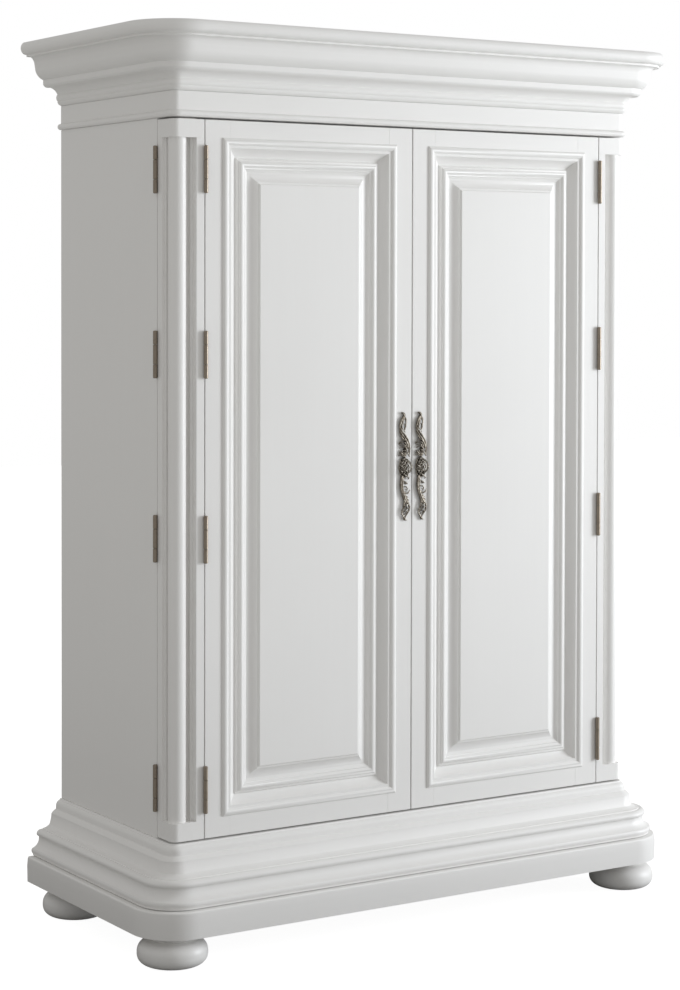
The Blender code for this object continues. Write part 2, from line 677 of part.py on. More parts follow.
def hinge_leaf_meshes():
    """The two halves of a butt hinge about a vertical axis at the origin. The first carries the
    outer knuckles and the pin and lies on -X, the second the middle knuckle, on +X. Both leaves
    run towards +Y from the face of the wood, which is at y = BARREL_STANDOFF."""
    half = HINGE_LENGTH / 2
    split = half - HINGE_OUTER_KNUCKLE
    head = half + PIN_HEAD_HEIGHT
    middle = split - KNUCKLE_PLAY
    near, far = LEAF_SPACE, LEAF_SPACE + LEAF_THICKNESS
    face, end = BARREL_STANDOFF, BARREL_STANDOFF + LEAF_DEPTH

    def drum(radius, low, high, segments=BARREL_SEGMENTS):
        bm = bmesh.new()
        add_drum(bm, (0, 0, low), (0, 0, high), radius, segments)
        return finish_mesh(bm, "drum")

    def web(xs, low, high):
        return box_mesh("web", (xs[0], KNUCKLE_WEB, low), (xs[1], face + LEAF_THICKNESS, high))

    first = [("START", drum(BARREL_RADIUS, split, half))]
    first += [("UNION", drum(BARREL_RADIUS, -half, -split))]
    first += [("UNION", drum(PIN_RADIUS, -split - PIN_BITE, split + PIN_BITE, PIN_SEGMENTS))]
    first += [("UNION", drum(PIN_HEAD_RADIUS, half - PIN_BITE, head))]
    first += [("UNION", drum(PIN_HEAD_RADIUS, -head, PIN_BITE - half))]
    first += [("UNION", box_mesh("leaf", (-far, face, -half), (-near, end, half)))]
    first += [("UNION", web((-far, -near), -half, -split)), ("UNION", web((-far, -near), split, half))]
    second = [("START", drum(BARREL_RADIUS, -middle, middle))]
    second += [("UNION", web((near, far), -middle, middle))]
    second += [("UNION", box_mesh("leaf", (near, face, -half), (far, end, half)))]
    second += [("DIFFERENCE", drum(PIN_RADIUS + TOUCH, -half, half, PIN_SEGMENTS))]
    return joined_mesh("hinge_leaf_with_pin", first), joined_mesh("hinge_leaf", second)


def build_hinges(word, side, metal, meshes, pivots):
    """Four side hinges, case to post, and four door hinges, post to door."""
    across = Vector((-side, 0, 0))  # from the outside of the case towards its middle
    back = Vector((0, 1, 0))
    lines = (
        ("side_hinge", POST_AXIS, across, -back, "case", "post"),
        ("door_hinge", DOOR_AXIS, back, across, "post", "door"),
    )
    for line, axis, inward, to_moving, held, moving in lines:
        # The meshes have their moving leaf on +X and their wood on +Y; up follows from the two.
        turn = Matrix((to_moving, inward, to_moving.cross(inward))).transposed().to_4x4()
        x, y = corner_place(side)(*axis)
        for number, height in enumerate(HINGE_HEIGHTS, start=1):
            for mesh, owner in zip(meshes, (held, moving)):
                name = f"{word}_{line}_{number}_{owner}_leaf"
                pivot = pivots[owner]
                piece = add_piece(name, mesh, metal, pivot)
                piece.matrix_world = Matrix.Translation((x, y, height)) @ turn


# ---------------------------------------------------------------- handles
def handle_outline():
    """The cast back plate from its foot to its head, as (height, sway, half width)."""
    rows = []
    for i in range(HANDLE_STEPS + 1):
        share = i / HANDLE_STEPS
        taper = math.sin(math.pi * share)
        sway = -HANDLE_SWING * math.sin(2 * math.pi * share)
        wave = HANDLE_WAVE * math.cos(2 * math.pi * HANDLE_WAVES * share) * taper
        half_width = HANDLE_TIP + HANDLE_SWELL * taper**HANDLE_FULLNESS + wave
        rows.append(((share - 0.5) * HANDLE_HEIGHT, sway, half_width))
    return rows


def build_handle(word, side, metal, pivot):
    x = side * (MEETING_GAP / 2 + HANDLE_INSET)
    z = BASE_TOP + HANDLE_LIFT
    face = FRONT - TOUCH
    rows = handle_outline()
    outline = [(x + sway - width, z + rise) for rise, sway, width in rows]
    outline += [(x + sway + width, z + rise) for rise, sway, width in reversed(rows)]
    bm = bmesh.new()
    add_prism(bm, outline, lambda a, b, end: (a, face - end * HANDLE_THICKNESS, b))
    name = word + "_handle_plate"
    plate = add_piece(name, finish_mesh(bm, name), metal, pivot, smooth=50)
    bm = bmesh.new()
    front = (x, face - ROSETTE_HEIGHT, z)
    add_drum(bm, (x, face, z), front, ROSETTE_RADIUS, ROSETTE_SEGMENTS, ROSETTE_RADIUS * ROSETTE_TAPER)
    combine(plate, "UNION", finish_mesh(bm, name + "_boss"))
    build_pull(word + "_handle_pull", (x, face - HANDLE_THICKNESS - TOUCH, z), metal, pivot)


def build_pull(name, root, metal, pivot):
    """A half round loop of wire, standing out square to the door."""
    reach = PULL_REACH - PULL_WIRE - HANDLE_THICKNESS
    rise = PULL_HEIGHT / 2 - PULL_WIRE
    bm = bmesh.new()
    rings = []
    for i in range(PULL_STEPS + 1):
        angle = math.pi * i / PULL_STEPS
        middle = Vector(root) + Vector((0, -reach * math.sin(angle), rise * math.cos(angle)))
        along = Vector((0, -reach * math.cos(angle), -rise * math.sin(angle)))
        across = Vector((1, 0, 0))
        out = across.cross(along).normalized()
        ring = []
        for k in range(PULL_SIDES):
            turn = 2 * math.pi * k / PULL_SIDES
            ring.append(bm.verts.new(middle + PULL_WIRE * (out * math.cos(turn) + across * math.sin(turn))))
        rings.append(ring)
    join_loops(bm, rings, closed=False)
    add_piece(name, finish_mesh(bm, name), metal, pivot, smooth=50)


# ---------------------------------------------------------------- assembly
def add_pivot(name, side, axis, parent=None):
    pivot = bpy.data.objects.new(name, None)
    bpy.context.scene.collection.objects.link(pivot)
    pivot.empty_display_size = 0.05
    pivot.location = (*corner_place(side)(*axis), BASE_TOP)
    bpy.context.view_layer.update()
    if parent is not None:
        pivot.parent = parent
        pivot.matrix_parent_inverse = parent.matrix_world.inverted()
        bpy.context.view_layer.update()
    return pivot


clear_scene()
PAINT = make_material("off_white_lacquer", (0.76, 0.74, 0.70), 0.35)
BOARD = make_material("lacquered_board", (0.72, 0.70, 0.66), 0.45)
NICKEL = make_material("aged_nickel", (0.32, 0.29, 0.25), 0.35, 1.0)
SILVER = make_material("antique_silver", (0.42, 0.40, 0.37), 0.32, 1.0)
STEEL = make_material("zinc_plated_steel", (0.55, 0.55, 0.54), 0.30, 1.0)

build_feet(PAINT)
build_rings(PAINT)
build_boards(PAINT, BOARD)
build_clothes_rail(STEEL)
build_catch(STEEL)
HINGE_MESHES = hinge_leaf_meshes()
for WORD, SIDE in (("left", -1), ("right", 1)):
    POST_PIVOT = add_pivot(WORD + "_post_pivot", SIDE, POST_AXIS)
    DOOR_PIVOT = add_pivot(WORD + "_door_pivot", SIDE, DOOR_AXIS, POST_PIVOT)
    build_side("side_" + WORD, SIDE, PAINT)
    build_post(WORD + "_post", SIDE, PAINT, POST_PIVOT)
    build_door(WORD, SIDE, PAINT, DOOR_PIVOT)
    build_hinges(WORD, SIDE, NICKEL, HINGE_MESHES, {"case": None, "post": POST_PIVOT, "door": DOOR_PIVOT})
    build_handle(WORD, SIDE, SILVER, DOOR_PIVOT)
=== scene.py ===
# %% [markdown]
# # An armoire with wrap-around doors
# A tall wardrobe in off-white lacquer: bun feet, a heavy moulded base, two doors with raised
# panels, engaged columns on the front corners and a deep crown. Each corner post is hinged to the
# case and each door to its post, so that the doors fold right round to the sides.
# We start from the finished joinery model. It is loaded as a fixed frame, and every piece below is
# built in the place which that model gives it.

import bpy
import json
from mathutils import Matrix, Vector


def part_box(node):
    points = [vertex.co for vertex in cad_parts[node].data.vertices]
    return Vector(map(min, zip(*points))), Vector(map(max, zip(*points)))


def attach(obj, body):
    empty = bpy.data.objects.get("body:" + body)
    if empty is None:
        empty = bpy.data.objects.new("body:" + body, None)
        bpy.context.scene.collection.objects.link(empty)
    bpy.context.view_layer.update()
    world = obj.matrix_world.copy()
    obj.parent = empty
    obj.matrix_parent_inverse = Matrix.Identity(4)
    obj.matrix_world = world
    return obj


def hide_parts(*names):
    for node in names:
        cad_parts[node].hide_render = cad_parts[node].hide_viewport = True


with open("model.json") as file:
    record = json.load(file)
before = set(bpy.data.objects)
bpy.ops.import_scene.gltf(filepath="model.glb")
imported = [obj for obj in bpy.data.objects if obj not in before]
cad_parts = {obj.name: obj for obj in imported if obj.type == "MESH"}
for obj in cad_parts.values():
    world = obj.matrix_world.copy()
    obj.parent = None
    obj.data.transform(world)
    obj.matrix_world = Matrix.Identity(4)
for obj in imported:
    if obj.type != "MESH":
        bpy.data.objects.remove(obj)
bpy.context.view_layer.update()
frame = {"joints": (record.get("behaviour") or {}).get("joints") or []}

# %% [markdown]
# ## Reading the sizes
# A joiner measures the carcass before cutting a moulding for it. We do the same: the planes that
# everything hangs on are read from the model once, and named. Outlines are written in millimetres,
# because mouldings are drawn that way, and turned into metres where they are used.

# %% Planes of the case
import json
import math

import bmesh
import bpy
from mathutils import Matrix, Vector

MM = 0.001
HALF_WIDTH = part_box("side_right")[1].x
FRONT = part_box("left_door_frame")[0].y
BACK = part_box("back_panel")[1].y
LEAF_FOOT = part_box("left_post")[0].z
LEAF_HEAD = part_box("left_post")[1].z
CORNER_RADIUS = 15 * MM
print(f"case {2 * HALF_WIDTH:.4f} wide, front at {FRONT:.4f}, doors {LEAF_HEAD - LEAF_FOOT:.4f} high")

# %% [markdown]
# ## Colours
# Paint makers give colours as hex codes, which are sRGB. Light adds up only in linear values, so
# one function turns every hex code into what the shader needs.

# %% Hex to linear colour
def linear(hex_code):
    """A colour like "f2efe8" as linear red, green, blue and alpha."""
    channels = [int(hex_code[i:i + 2], 16) / 255 for i in (0, 2, 4)]
    straight = [c / 12.92 if c <= 0.04045 else ((c + 0.055) / 1.055) ** 2.4 for c in channels]
    return (*straight, 1.0)


print("off-white f1eee8 is", *(round(c, 3) for c in linear("f1eee8")[:3]), "in linear light")

# %% [markdown]
# ## One helper for shader nodes
# A material is a small network. This function adds one node of any kind, sets what it is told to
# set, and joins the sockets it is given. Everything else in a material is then just a list of nodes.

# %% Add a node
def add_node(material, kind, inputs=None, **settings):
    """Adds a ShaderNode of that kind. An input may be a value or another node's output socket."""
    tree = material.node_tree
    node = tree.nodes.new("ShaderNode" + kind)
    for name, value in settings.items():
        setattr(node, name, value)
    for key, value in (inputs or {}).items():
        if isinstance(value, bpy.types.NodeSocket):
            tree.links.new(value, node.inputs[key])
        else:
            node.inputs[key].default_value = value
    return node


def new_material(name, base, roughness, metallic=0.0):
    """A material and its Principled shader, with the values that are the same all over."""
    material = bpy.data.materials.new(name)
    material.use_nodes = True
    shader = material.node_tree.nodes["Principled BSDF"]
    shader.inputs["Base Color"].default_value = linear(base)
    shader.inputs["Roughness"].default_value = roughness
    shader.inputs["Metallic"].default_value = metallic
    material.diffuse_color = linear(base)
    return material, shader


def join(material, output, socket):
    material.node_tree.links.new(output, socket)


# %% [markdown]
# ## Off-white satin lacquer, sprayed over solid wood
# The real finish is a pigmented lacquer: several thin sprayed coats, rubbed down and left satin.
# It hides the colour of the timber but not its grain, which stays as faint long ridges under the
# film. Three things reach the eye: a warm white that is a little uneven, grain lines that only
# show in raking light, and a soft broad gloss.
# The grain has to run along each piece of timber, so each piece gets a map called "grain", in
# metres, whose first axis follows the wood. The lines are drawn 2.5 mm apart and 250 mm long.
# Real pores are about 0.3 mm wide, which is too fine to show, so they are drawn coarser.

# %% Make the lacquers
GRAIN_SPACING = 2.5 * MM
GRAIN_LENGTH = 250 * MM
FIGURE_SPACING = 14 * MM  # the slow waves of early and late wood
FIGURE_LENGTH = 900 * MM
PEEL_SIZE = 1.2 * MM  # orange peel of the sprayed film, drawn at its true size
PEEL_DEPTH = 0.02 * MM
CLOUDS = 4.0  # to the metre: slow unevenness from coat to coat
USUAL = {"From Min": 0.7, "From Max": 1.3}  # where the sum of the three noises mostly lies


def lacquer(name, low, base, high, roughness, relief):
    """Sprayed lacquer whose tone wanders between low and high, over grain ridges relief high."""
    material, shader = new_material(name, base, roughness)
    shader.inputs["IOR"].default_value = 1.5
    grain_map = add_node(material, "UVMap", uv_map="grain").outputs["UV"]
    where = add_node(material, "TexCoord").outputs["Object"]

    def wood_lines(spacing, length, detail):
        stretched = add_node(
            material, "Mapping", {"Vector": grain_map, "Scale": (1 / length, 1 / spacing, 1.0)}
        )
        return add_node(
            material,
            "TexNoise",
            {"Vector": stretched.outputs["Vector"], "Scale": 1.0, "Detail": detail, "Roughness": 0.6},
        ).outputs["Fac"]

    pores = wood_lines(GRAIN_SPACING, GRAIN_LENGTH, 3.0)
    figure = wood_lines(FIGURE_SPACING, FIGURE_LENGTH, 2.0)
    cloud = add_node(
        material, "TexNoise", {"Vector": where, "Scale": CLOUDS, "Detail": 3.0}
    ).outputs["Fac"]
    peel = add_node(
        material, "TexNoise", {"Vector": where, "Scale": 1 / PEEL_SIZE, "Detail": 1.0}
    ).outputs["Fac"]

    mixed = cloud
    for lines in (figure, pores):
        mixed = add_node(
            material, "Math", {0: lines, 1: 0.5, 2: mixed}, operation="MULTIPLY_ADD").outputs[0]
    tone = add_node(material, "MapRange", {"Value": mixed, **USUAL})
    ramp = add_node(material, "ValToRGB", {"Fac": tone.outputs["Result"]})
    ramp.color_ramp.elements[0].color = linear(low)
    ramp.color_ramp.elements[1].color = linear(high)
    ramp.color_ramp.elements.new(0.5).color = linear(base)
    join(material, ramp.outputs["Color"], shader.inputs["Base Color"])

    sheen = add_node(
        material,
        "MapRange",
        {"Value": mixed, **USUAL, "To Min": roughness - 0.05, "To Max": roughness + 0.06},
    )
    join(material, sheen.outputs["Result"], shader.inputs["Roughness"])

    ridges = add_node(material, "Bump", {"Height": pores, "Strength": 0.5, "Distance": relief})
    film = add_node(
        material,
        "Bump",
        {"Height": peel, "Strength": 0.3, "Distance": PEEL_DEPTH, "Normal": ridges.outputs["Normal"]},
    )
    join(material, film.outputs["Normal"], shader.inputs["Normal"])
    return material


SPRAYED_LACQUER = lacquer("off_white_satin_lacquer", "f3f2f0", "f4f3f1", "f5f4f2", 0.42, 0.025 * MM)
INSIDE_LACQUER = lacquer("matt_lacquer_inside", "e3e0da", "e9e6e1", "eeece8", 0.55, 0.16 * MM)
print("lacquers:", SPRAYED_LACQUER.name, INSIDE_LACQUER.name)

# %% [markdown]
# ## Metals
# Four metals are used. The hinges and their screws are nickel plate that was browned with age and
# rubbed back. The handles are cast and antique-silvered: bright on every ridge, nearly black in
# the hollows, where the patina was not rubbed off. The clothes rail and the catch are zinc-plated
# steel, and the magnets are bare steel. Shader pointiness, which is the curvature of the surface,
# tells ridge from hollow, so the patina follows the modelling by itself.

# %% Make the metals
MOTTLE_SIZE = 6 * MM  # blotches where the plating was rubbed more or less
SCRATCH_DEPTH = 0.05 * MM
SHUT_IN, OPEN_AIR = 0.35, 0.85  # share of open sky in a deep hollow, and on a ridge


def rubbed_metal(name, hollow, base, ridge, roughness, scratch, sharpness, depth=0.0):
    """Plated metal whose patina stays in the hollows and is rubbed off the ridges. depth is how
    deep a hollow has to be, in metres, for its patina to be quite out of reach."""
    material, shader = new_material(name, base, roughness, 1.0)
    curve = add_node(material, "NewGeometry").outputs["Pointiness"]
    where = add_node(material, "TexCoord").outputs["Object"]
    mottle = add_node(
        material, "TexNoise", {"Vector": where, "Scale": 1 / MOTTLE_SIZE, "Detail": 4.0}
    ).outputs["Fac"]
    bent = add_node(
        material,
        "MapRange",
        {"Value": curve, "From Min": 0.5 - sharpness, "From Max": 0.5 + sharpness},
    ).outputs["Result"]
    if depth:
        sky = add_node(material, "AmbientOcclusion", {"Distance": depth}, samples=6).outputs["AO"]
        sky = add_node(
            material, "MapRange", {"Value": sky, "From Min": SHUT_IN, "From Max": OPEN_AIR}
        ).outputs["Result"]
        bent = add_node(material, "Math", {0: bent, 1: sky}, operation="MULTIPLY").outputs[0]
    worn = add_node(material, "Math", {0: mottle, 1: 0.5, 2: bent}, operation="MULTIPLY_ADD").outputs[0]
    worn = add_node(material, "Math", {0: worn, 1: 0.25}, operation="SUBTRACT").outputs[0]
    ramp = add_node(material, "ValToRGB", {"Fac": worn})
    ramp.color_ramp.elements[0].color = linear(hollow)
    ramp.color_ramp.elements[1].color = linear(ridge)
    ramp.color_ramp.elements.new(0.5).color = linear(base)
    join(material, ramp.outputs["Color"], shader.inputs["Base Color"])
    dull = add_node(
        material,
        "MapRange",
        {"Value": worn, "To Min": roughness + 0.2, "To Max": roughness - 0.06},
    )
    join(material, dull.outputs["Result"], shader.inputs["Roughness"])
    hair = add_node(
        material, "TexNoise", {"Vector": where, "Scale": 1 / scratch, "Detail": 3.0}
    ).outputs["Fac"]
    bump = add_node(material, "Bump", {"Height": hair, "Strength": 0.35, "Distance": SCRATCH_DEPTH})
    join(material, bump.outputs["Normal"], shader.inputs["Normal"])
    return material


AGED_NICKEL = rubbed_metal("aged_nickel_plate", "38302a", "6c6257", "988d80", 0.46, 1.5 * MM, 0.06)
ANTIQUE_SILVER = rubbed_metal(
    "antique_silver_casting", "15110e", "5c544a", "e2dcd0", 0.30, 0.8 * MM, 0.10, depth=5 * MM)
ZINC_STEEL = rubbed_metal("zinc_plated_steel", "85888a", "a9acae", "c6c8ca", 0.32, 2.0 * MM, 0.10)
MAGNET_STEEL = rubbed_metal("magnet_steel", "55585b", "777a7d", "9b9ea1", 0.30, 2.0 * MM, 0.10)
print("metals:", AGED_NICKEL.name, ANTIQUE_SILVER.name, ZINC_STEEL.name, MAGNET_STEEL.name)

# %% [markdown]
# ## From points to a piece
# Every piece below ends the same way: its mesh becomes an object, gets its finish, rides on the
# moving part it belongs to, and takes the place of the plain solids it stands for. One function
# does that, so nothing is forgotten.


def add_piece(bm, name, body, material, nodes=(), eased=0.0, crease=35):
    """Makes a piece from a bmesh. eased is the radius that a sanding block would leave, and crease
    is the angle in degrees from which an edge is drawn sharp."""
    bm.normal_update()
    bmesh.ops.recalc_face_normals(bm, faces=bm.faces)
    mesh = bpy.data.meshes.new(name)
    bm.to_mesh(mesh)
    bm.free()
    mesh.materials.append(material)
    mesh.shade_smooth()
    mesh.set_sharp_from_angle(angle=math.radians(crease))
    piece = bpy.data.objects.new(name, mesh)
    bpy.context.scene.collection.objects.link(piece)
    if eased:
        easing = piece.modifiers.new("eased edges", "BEVEL")
        easing.width = eased
        easing.segments = 2
        easing.limit_method = "ANGLE"
        easing.angle_limit = math.radians(crease)
    flat = piece.modifiers.new("flat faces stay flat", "WEIGHTED_NORMAL")
    flat.keep_sharp = True
    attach(piece, body)
    if nodes:
        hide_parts(*nodes)
    print(f"{name}: {len(mesh.polygons)} faces, rides on {body}")


# %% [markdown]
# ## Drawing a moulding
# A moulding is drawn as a few corners joined by lines and arcs. Each step below is (projection,
# run, bulge): how far it stands out, how far along it is, and how round the line to it is. A
# positive bulge swells like a torus and a negative one is hollow like a cove.

# %% Outlines and skins
def arc_points(start, end, bulge, steps):
    """Points of the arc from start to end, whose rise over half its chord is bulge."""
    half = (end - start).length / 2
    rise = abs(bulge) * half
    radius = (half * half + rise * rise) / (2 * rise)
    along = (end - start).normalized()
    outwards = Vector((along.y, -along.x)) * math.copysign(1.0, bulge)
    centre = (start + end) / 2 + outwards * (rise - radius)
    reach = math.asin(half / radius)
    angles = [reach * (2 * i / steps - 1) for i in range(1, steps)]
    return [centre + radius * (along * math.sin(a) + outwards * math.cos(a)) for a in angles]


def outline_of(steps, fineness=12):
    """Turns (projection, run, bulge) steps in millimetres into points in metres."""
    points = [Vector(steps[0][:2]) * MM]
    for x, y, bulge in steps[1:]:
        corner = Vector((x, y)) * MM
        if bulge:
            points += arc_points(points[-1], corner, bulge, fineness)
        points.append(corner)
    return points


def lengths_along(points):
    """How far along a line of points each of them is."""
    total, lengths = 0.0, [0.0]
    for a, b in zip(points, points[1:]):
        total += (Vector(b) - Vector(a)).length
        lengths.append(total)
    return lengths


def skin(bm, loops, closed, grain_at):
    """Joins closed loops of points by faces. grain_at(i, j, end, corner) maps the four corners of
    face (i, j) to metres along and across the wood. Returns the new faces."""
    grain = bm.loops.layers.uv.get("grain") or bm.loops.layers.uv.new("grain")
    rows = [[bm.verts.new(point) for point in loop] for loop in loops]
    count = len(rows[0])
    spans = len(rows) if closed else len(rows) - 1
    faces = []
    for i in range(spans):
        a, b = rows[i], rows[(i + 1) % len(rows)]
        for j in range(count):
            k = (j + 1) % count
            face = bm.faces.new((a[j], a[k], b[k], b[j]))
            faces.append(face)
            for loop, (end, side) in zip(face.loops, ((0, 0), (0, 1), (1, 1), (1, 0))):
                loop[grain].uv = grain_at(i, j + side, end, loop.vert.co)
    if not closed:
        for row in (rows[0], rows[-1]):
            cap = bm.faces.new(row)
            faces.append(cap)
            for loop in cap.loops:
                loop[grain].uv = (loop.vert.co.x + loop.vert.co.z, loop.vert.co.y)
    return faces


# %% [markdown]
# ## Mouldings that wrap the case
# The crown, the frieze, the base and the plinth are four frames, mitred from lengths of moulding
# and rounded at the front corners. One sweep makes them all: it carries the outline from the back
# of the left side, round the two front corners, to the back of the right side, and closes the
# frame with a plain rail across the back. The grain follows the sweep.

# %% Sweep a moulding round the case
CORNER_STEPS = 20
CORNER_LEAD = 3 * MM  # a short straight length beside each rounded corner keeps the long faces flat


def corner_place(side, projection, turn):
    """Plan position on a front corner; turn goes from 0, facing sideways, to 1, facing front."""
    radius = CORNER_RADIUS + projection
    if radius <= 0:
        return Vector((side * (HALF_WIDTH + projection), FRONT - projection))
    angle = turn * math.pi / 2
    x = HALF_WIDTH - CORNER_RADIUS + radius * math.cos(angle)
    return Vector((side * x, FRONT + CORNER_RADIUS - radius * math.sin(angle)))


def station(side, kind, turn, projection):
    """Plan position of one outline point at one stop of the sweep."""
    if kind == "back":
        return Vector((side * (HALF_WIDTH + projection), BACK + min(projection, 0.0)))
    place = corner_place(side, projection, turn)
    if kind == "before":
        place.y += CORNER_LEAD
    if kind == "after":
        place.x -= side * CORNER_LEAD
    return place


def wrapped_moulding(node, steps, wall):
    """Sweeps the outline round the case. wall is how far the frame reaches in behind its faces."""
    outline = outline_of(steps)
    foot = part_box(node)[0].z
    section = outline + [Vector((-wall, outline[-1].y)), Vector((-wall, outline[0].y))]
    half = [("back", 0), ("before", 0)]
    half += [("corner", i / CORNER_STEPS) for i in range(CORNER_STEPS + 1)] + [("after", 1)]
    stops = [(-1, *stop) for stop in half] + [(1, *stop) for stop in reversed(half)]
    loops = [[(*station(*stop, p.x), foot + p.y) for p in section] for stop in stops]
    run = lengths_along([station(*stop, 0.0) for stop in stops])
    run.append(run[-1] + 2 * HALF_WIDTH)
    across = lengths_along(section + section[:1])
    bm = bmesh.new()
    skin(bm, loops, True, lambda i, j, end, corner: (run[i + end], across[j]))
    add_piece(bm, node + "_joinery", "case", SPRAYED_LACQUER, [node], crease=30)


# %% [markdown]
# ### The crown
# From below: a small bead, a torus, a wide cove, a fillet, an ovolo, a hollow, and a deep nosing.

# %% Crown
CROWN = (
    (0.0, 0.0, 0.0),
    (2.0, 1.0, 0.0),
    (9.0, 9.2, 0.30),
    (8.4, 10.0, 0.0),
    (9.0, 24.8, 0.42),
    (9.5, 26.0, 0.0),
    (37.0, 39.5, -0.35),
    (44.0, 45.5, 0.20),
    (44.0, 55.6, 0.0),
    (63.0, 76.0, 0.25),
    (65.0, 88.6, 0.0),
    (68.0, 98.0, -0.10),
    (84.6, 105.0, -0.40),
    (84.6, 108.8, 0.0),
    (91.5, 110.5, 0.0),
    (91.5, 136.6, 0.555),
)
wrapped_moulding("crown", CROWN, 22 * MM)

# %% [markdown]
# ### The frieze
# A plain flat band over the doors, with an astragal, a thin half-round, along its lower edge.

# %% Frieze
FRIEZE = ((3.0, 0.0, 0.0), (3.0, 13.0, 0.85), (0.0, 14.0, 0.0), (0.0, 53.4, 0.0))
wrapped_moulding("frieze", FRIEZE, 40 * MM)

# %% [markdown]
# ### The base and the plinth
# The base steps in from a fat torus, through a hollow and a bead, up to the small ovolo under the
# doors. It sits on a plinth whose upper edge is just rounded over.

# %% Base and plinth
BASE = (
    (66.0, 0.0, 0.0),
    (70.5, 1.5, 0.0),
    (71.0, 5.5, 0.0),
    (72.0, 17.5, 0.45),
    (56.0, 40.5, -0.37),
    (56.5, 42.5, 0.0),
    (60.5, 52.0, 0.50),
    (47.0, 57.2, 0.35),
    (46.0, 59.0, 0.0),
    (30.0, 66.0, -0.15),
    (25.0, 87.0, -0.06),
    (25.0, 90.0, 0.0),
    (14.0, 98.9, 0.10),
    (13.5, 106.9, 0.0),
    (5.0, 118.0, 0.30),
    (3.5, 121.0, 0.0),
)
PLINTH = ((84.0, 0.0, 0.0), (84.7, 37.0, 0.0), (83.4, 51.0, 0.0), (80.0, 56.4, 0.35))
wrapped_moulding("base_moulding", BASE, 45 * MM)
wrapped_moulding("plinth_rail", PLINTH, 58 * MM)

# %% [markdown]
# ## Bun feet
# Each foot is a turned bun: a collar, a quirk, and a flattened ball that stands on a flat. On a
# lathe the outline is everything, so we draw half of it and spin it. An egg curve with an exponent
# a little over two gives the full cheek that a plain ellipse lacks.

# %% Turn the feet
FOOT_TURNS = 72
TURNED_GIRTH = 0.05 * math.pi  # the grain map takes every turned piece as 50 mm thick
COLLAR_HEIGHT, COLLAR_ROUND = 8 * MM, 3 * MM
QUIRK_IN, QUIRK_DOWN = 1.5 * MM, 0.8 * MM  # the small step under the collar
NECK_DROP = 14 * MM  # top of the foot to the narrowest part of the neck
BELLY_AT = 0.47  # height of the widest part, as a share of the bun's height
FULLNESS = 2.4  # 2 is an ellipse, and more is squarer
BUN_STEPS = 40


def turned(bm, outline, turns, place):
    """Spins (radius, z) points about the vertical axis, and lays the result at place. An outline
    that starts and ends at radius 0 gives a solid, and any other gives a ring."""
    loops = []
    for i in range(turns):
        angle = 2 * math.pi * i / turns
        spoke = Vector((math.cos(angle), math.sin(angle), 0.0))
        loops.append([place @ (Vector((0, 0, z)) + spoke * radius) for radius, z in outline])
    across = lengths_along([Vector(p) for p in outline] + [Vector(outline[0])])
    made = skin(
        bm, loops, True, lambda i, j, end, corner: (across[j], TURNED_GIRTH * (i + end) / turns))
    if outline[0][0] == 0.0:  # the points on the axis become one pole at each end
        points = list(dict.fromkeys(vert for face in made for vert in face.verts))
        bmesh.ops.remove_doubles(bm, verts=points, dist=1e-7)
        loose = [edge for edge in bm.edges if not edge.link_faces]
        bmesh.ops.delete(bm, geom=loose, context="EDGES")


def bun_outline(height, collar, neck, belly, flat):
    """Radii and heights from the top of the foot to its flat. The five sizes are the height and
    the radii of the collar, the neck, the belly and the flat."""
    neck_z = height - NECK_DROP
    middle = BELLY_AT * neck_z
    points = [(0.0, height)]
    for i in range(5):
        angle = i * math.pi / 8
        points.append((collar - COLLAR_ROUND * (1 - math.sin(angle)),
                       height - COLLAR_ROUND * (1 - math.cos(angle))))
    points += [(collar, height - COLLAR_HEIGHT),
               (collar - QUIRK_IN, height - COLLAR_HEIGHT - QUIRK_DOWN), (neck, neck_z)]
    for i in range(1, BUN_STEPS + 1):
        z = neck_z * (1 - i / BUN_STEPS)
        above = z > middle
        share = (z - middle) / (neck_z - middle) if above else (middle - z) / middle
        end = neck if above else flat
        points.append((end + (belly - end) * max(0.0, 1 - share**FULLNESS) ** 0.5, z))
    return points + [(0.0, 0.0)]


for corner in ("front_left", "front_right", "rear_left", "rear_right"):
    node = "foot_" + corner
    low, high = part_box(node)
    outline = bun_outline(high.z, 51 * MM, 45 * MM, 74 * MM, 45 * MM)
    bm = bmesh.new()
    turned(bm, outline, FOOT_TURNS, Matrix.Translation((*(low.xy + high.xy) / 2, 0)))
    add_piece(bm, node + "_turning", "case", SPRAYED_LACQUER, [node], crease=40)

# %% [markdown]
# ## Boards
# Sides, top, bottom, shelf and back are boards with eased edges. A board is extruded from its plan
# or its end view, and its grain map follows its long axis: upright on the sides and the back,
# across on the shelf. Projecting each face along its own normal keeps the grain at true size.

# %% Saw a board
BOARD_EDGE = 0.8 * MM  # eased with a sanding block
END_GRAIN = 0.3  # sine of the angle under which the fibres point straight out of a face


def board(bm, outline, place, grain_axis):
    """Extrudes a closed outline; place(a, b, end) gives the points of its two faces."""
    loops = [[Vector(place(a, b, end)) for a, b in outline] for end in (0, 1)]
    map_grain(bm, skin(bm, loops, False, lambda *corner: (0.0, 0.0)), grain_axis)


def map_grain(bm, faces, grain_axis):
    """Gives the faces the grain map of timber whose fibres run along grain_axis."""
    grain = bm.loops.layers.uv["grain"]
    along = Vector(grain_axis)
    bm.normal_update()
    for face in faces:
        across = face.normal.cross(along)
        if across.length < END_GRAIN:
            across = face.normal.orthogonal()
        across.normalize()
        for loop in face.loops:
            loop[grain].uv = (loop.vert.co.dot(along), loop.vert.co.dot(across))


def rectangle(low, high):
    return [(low[0], low[1]), (high[0], low[1]), (high[0], high[1]), (low[0], high[1])]


def plank(bm, low, high, grain_axis):
    outline = rectangle(low.xy, high.xy)
    board(bm, outline, lambda a, b, end: (a, b, high.z if end else low.z), grain_axis)


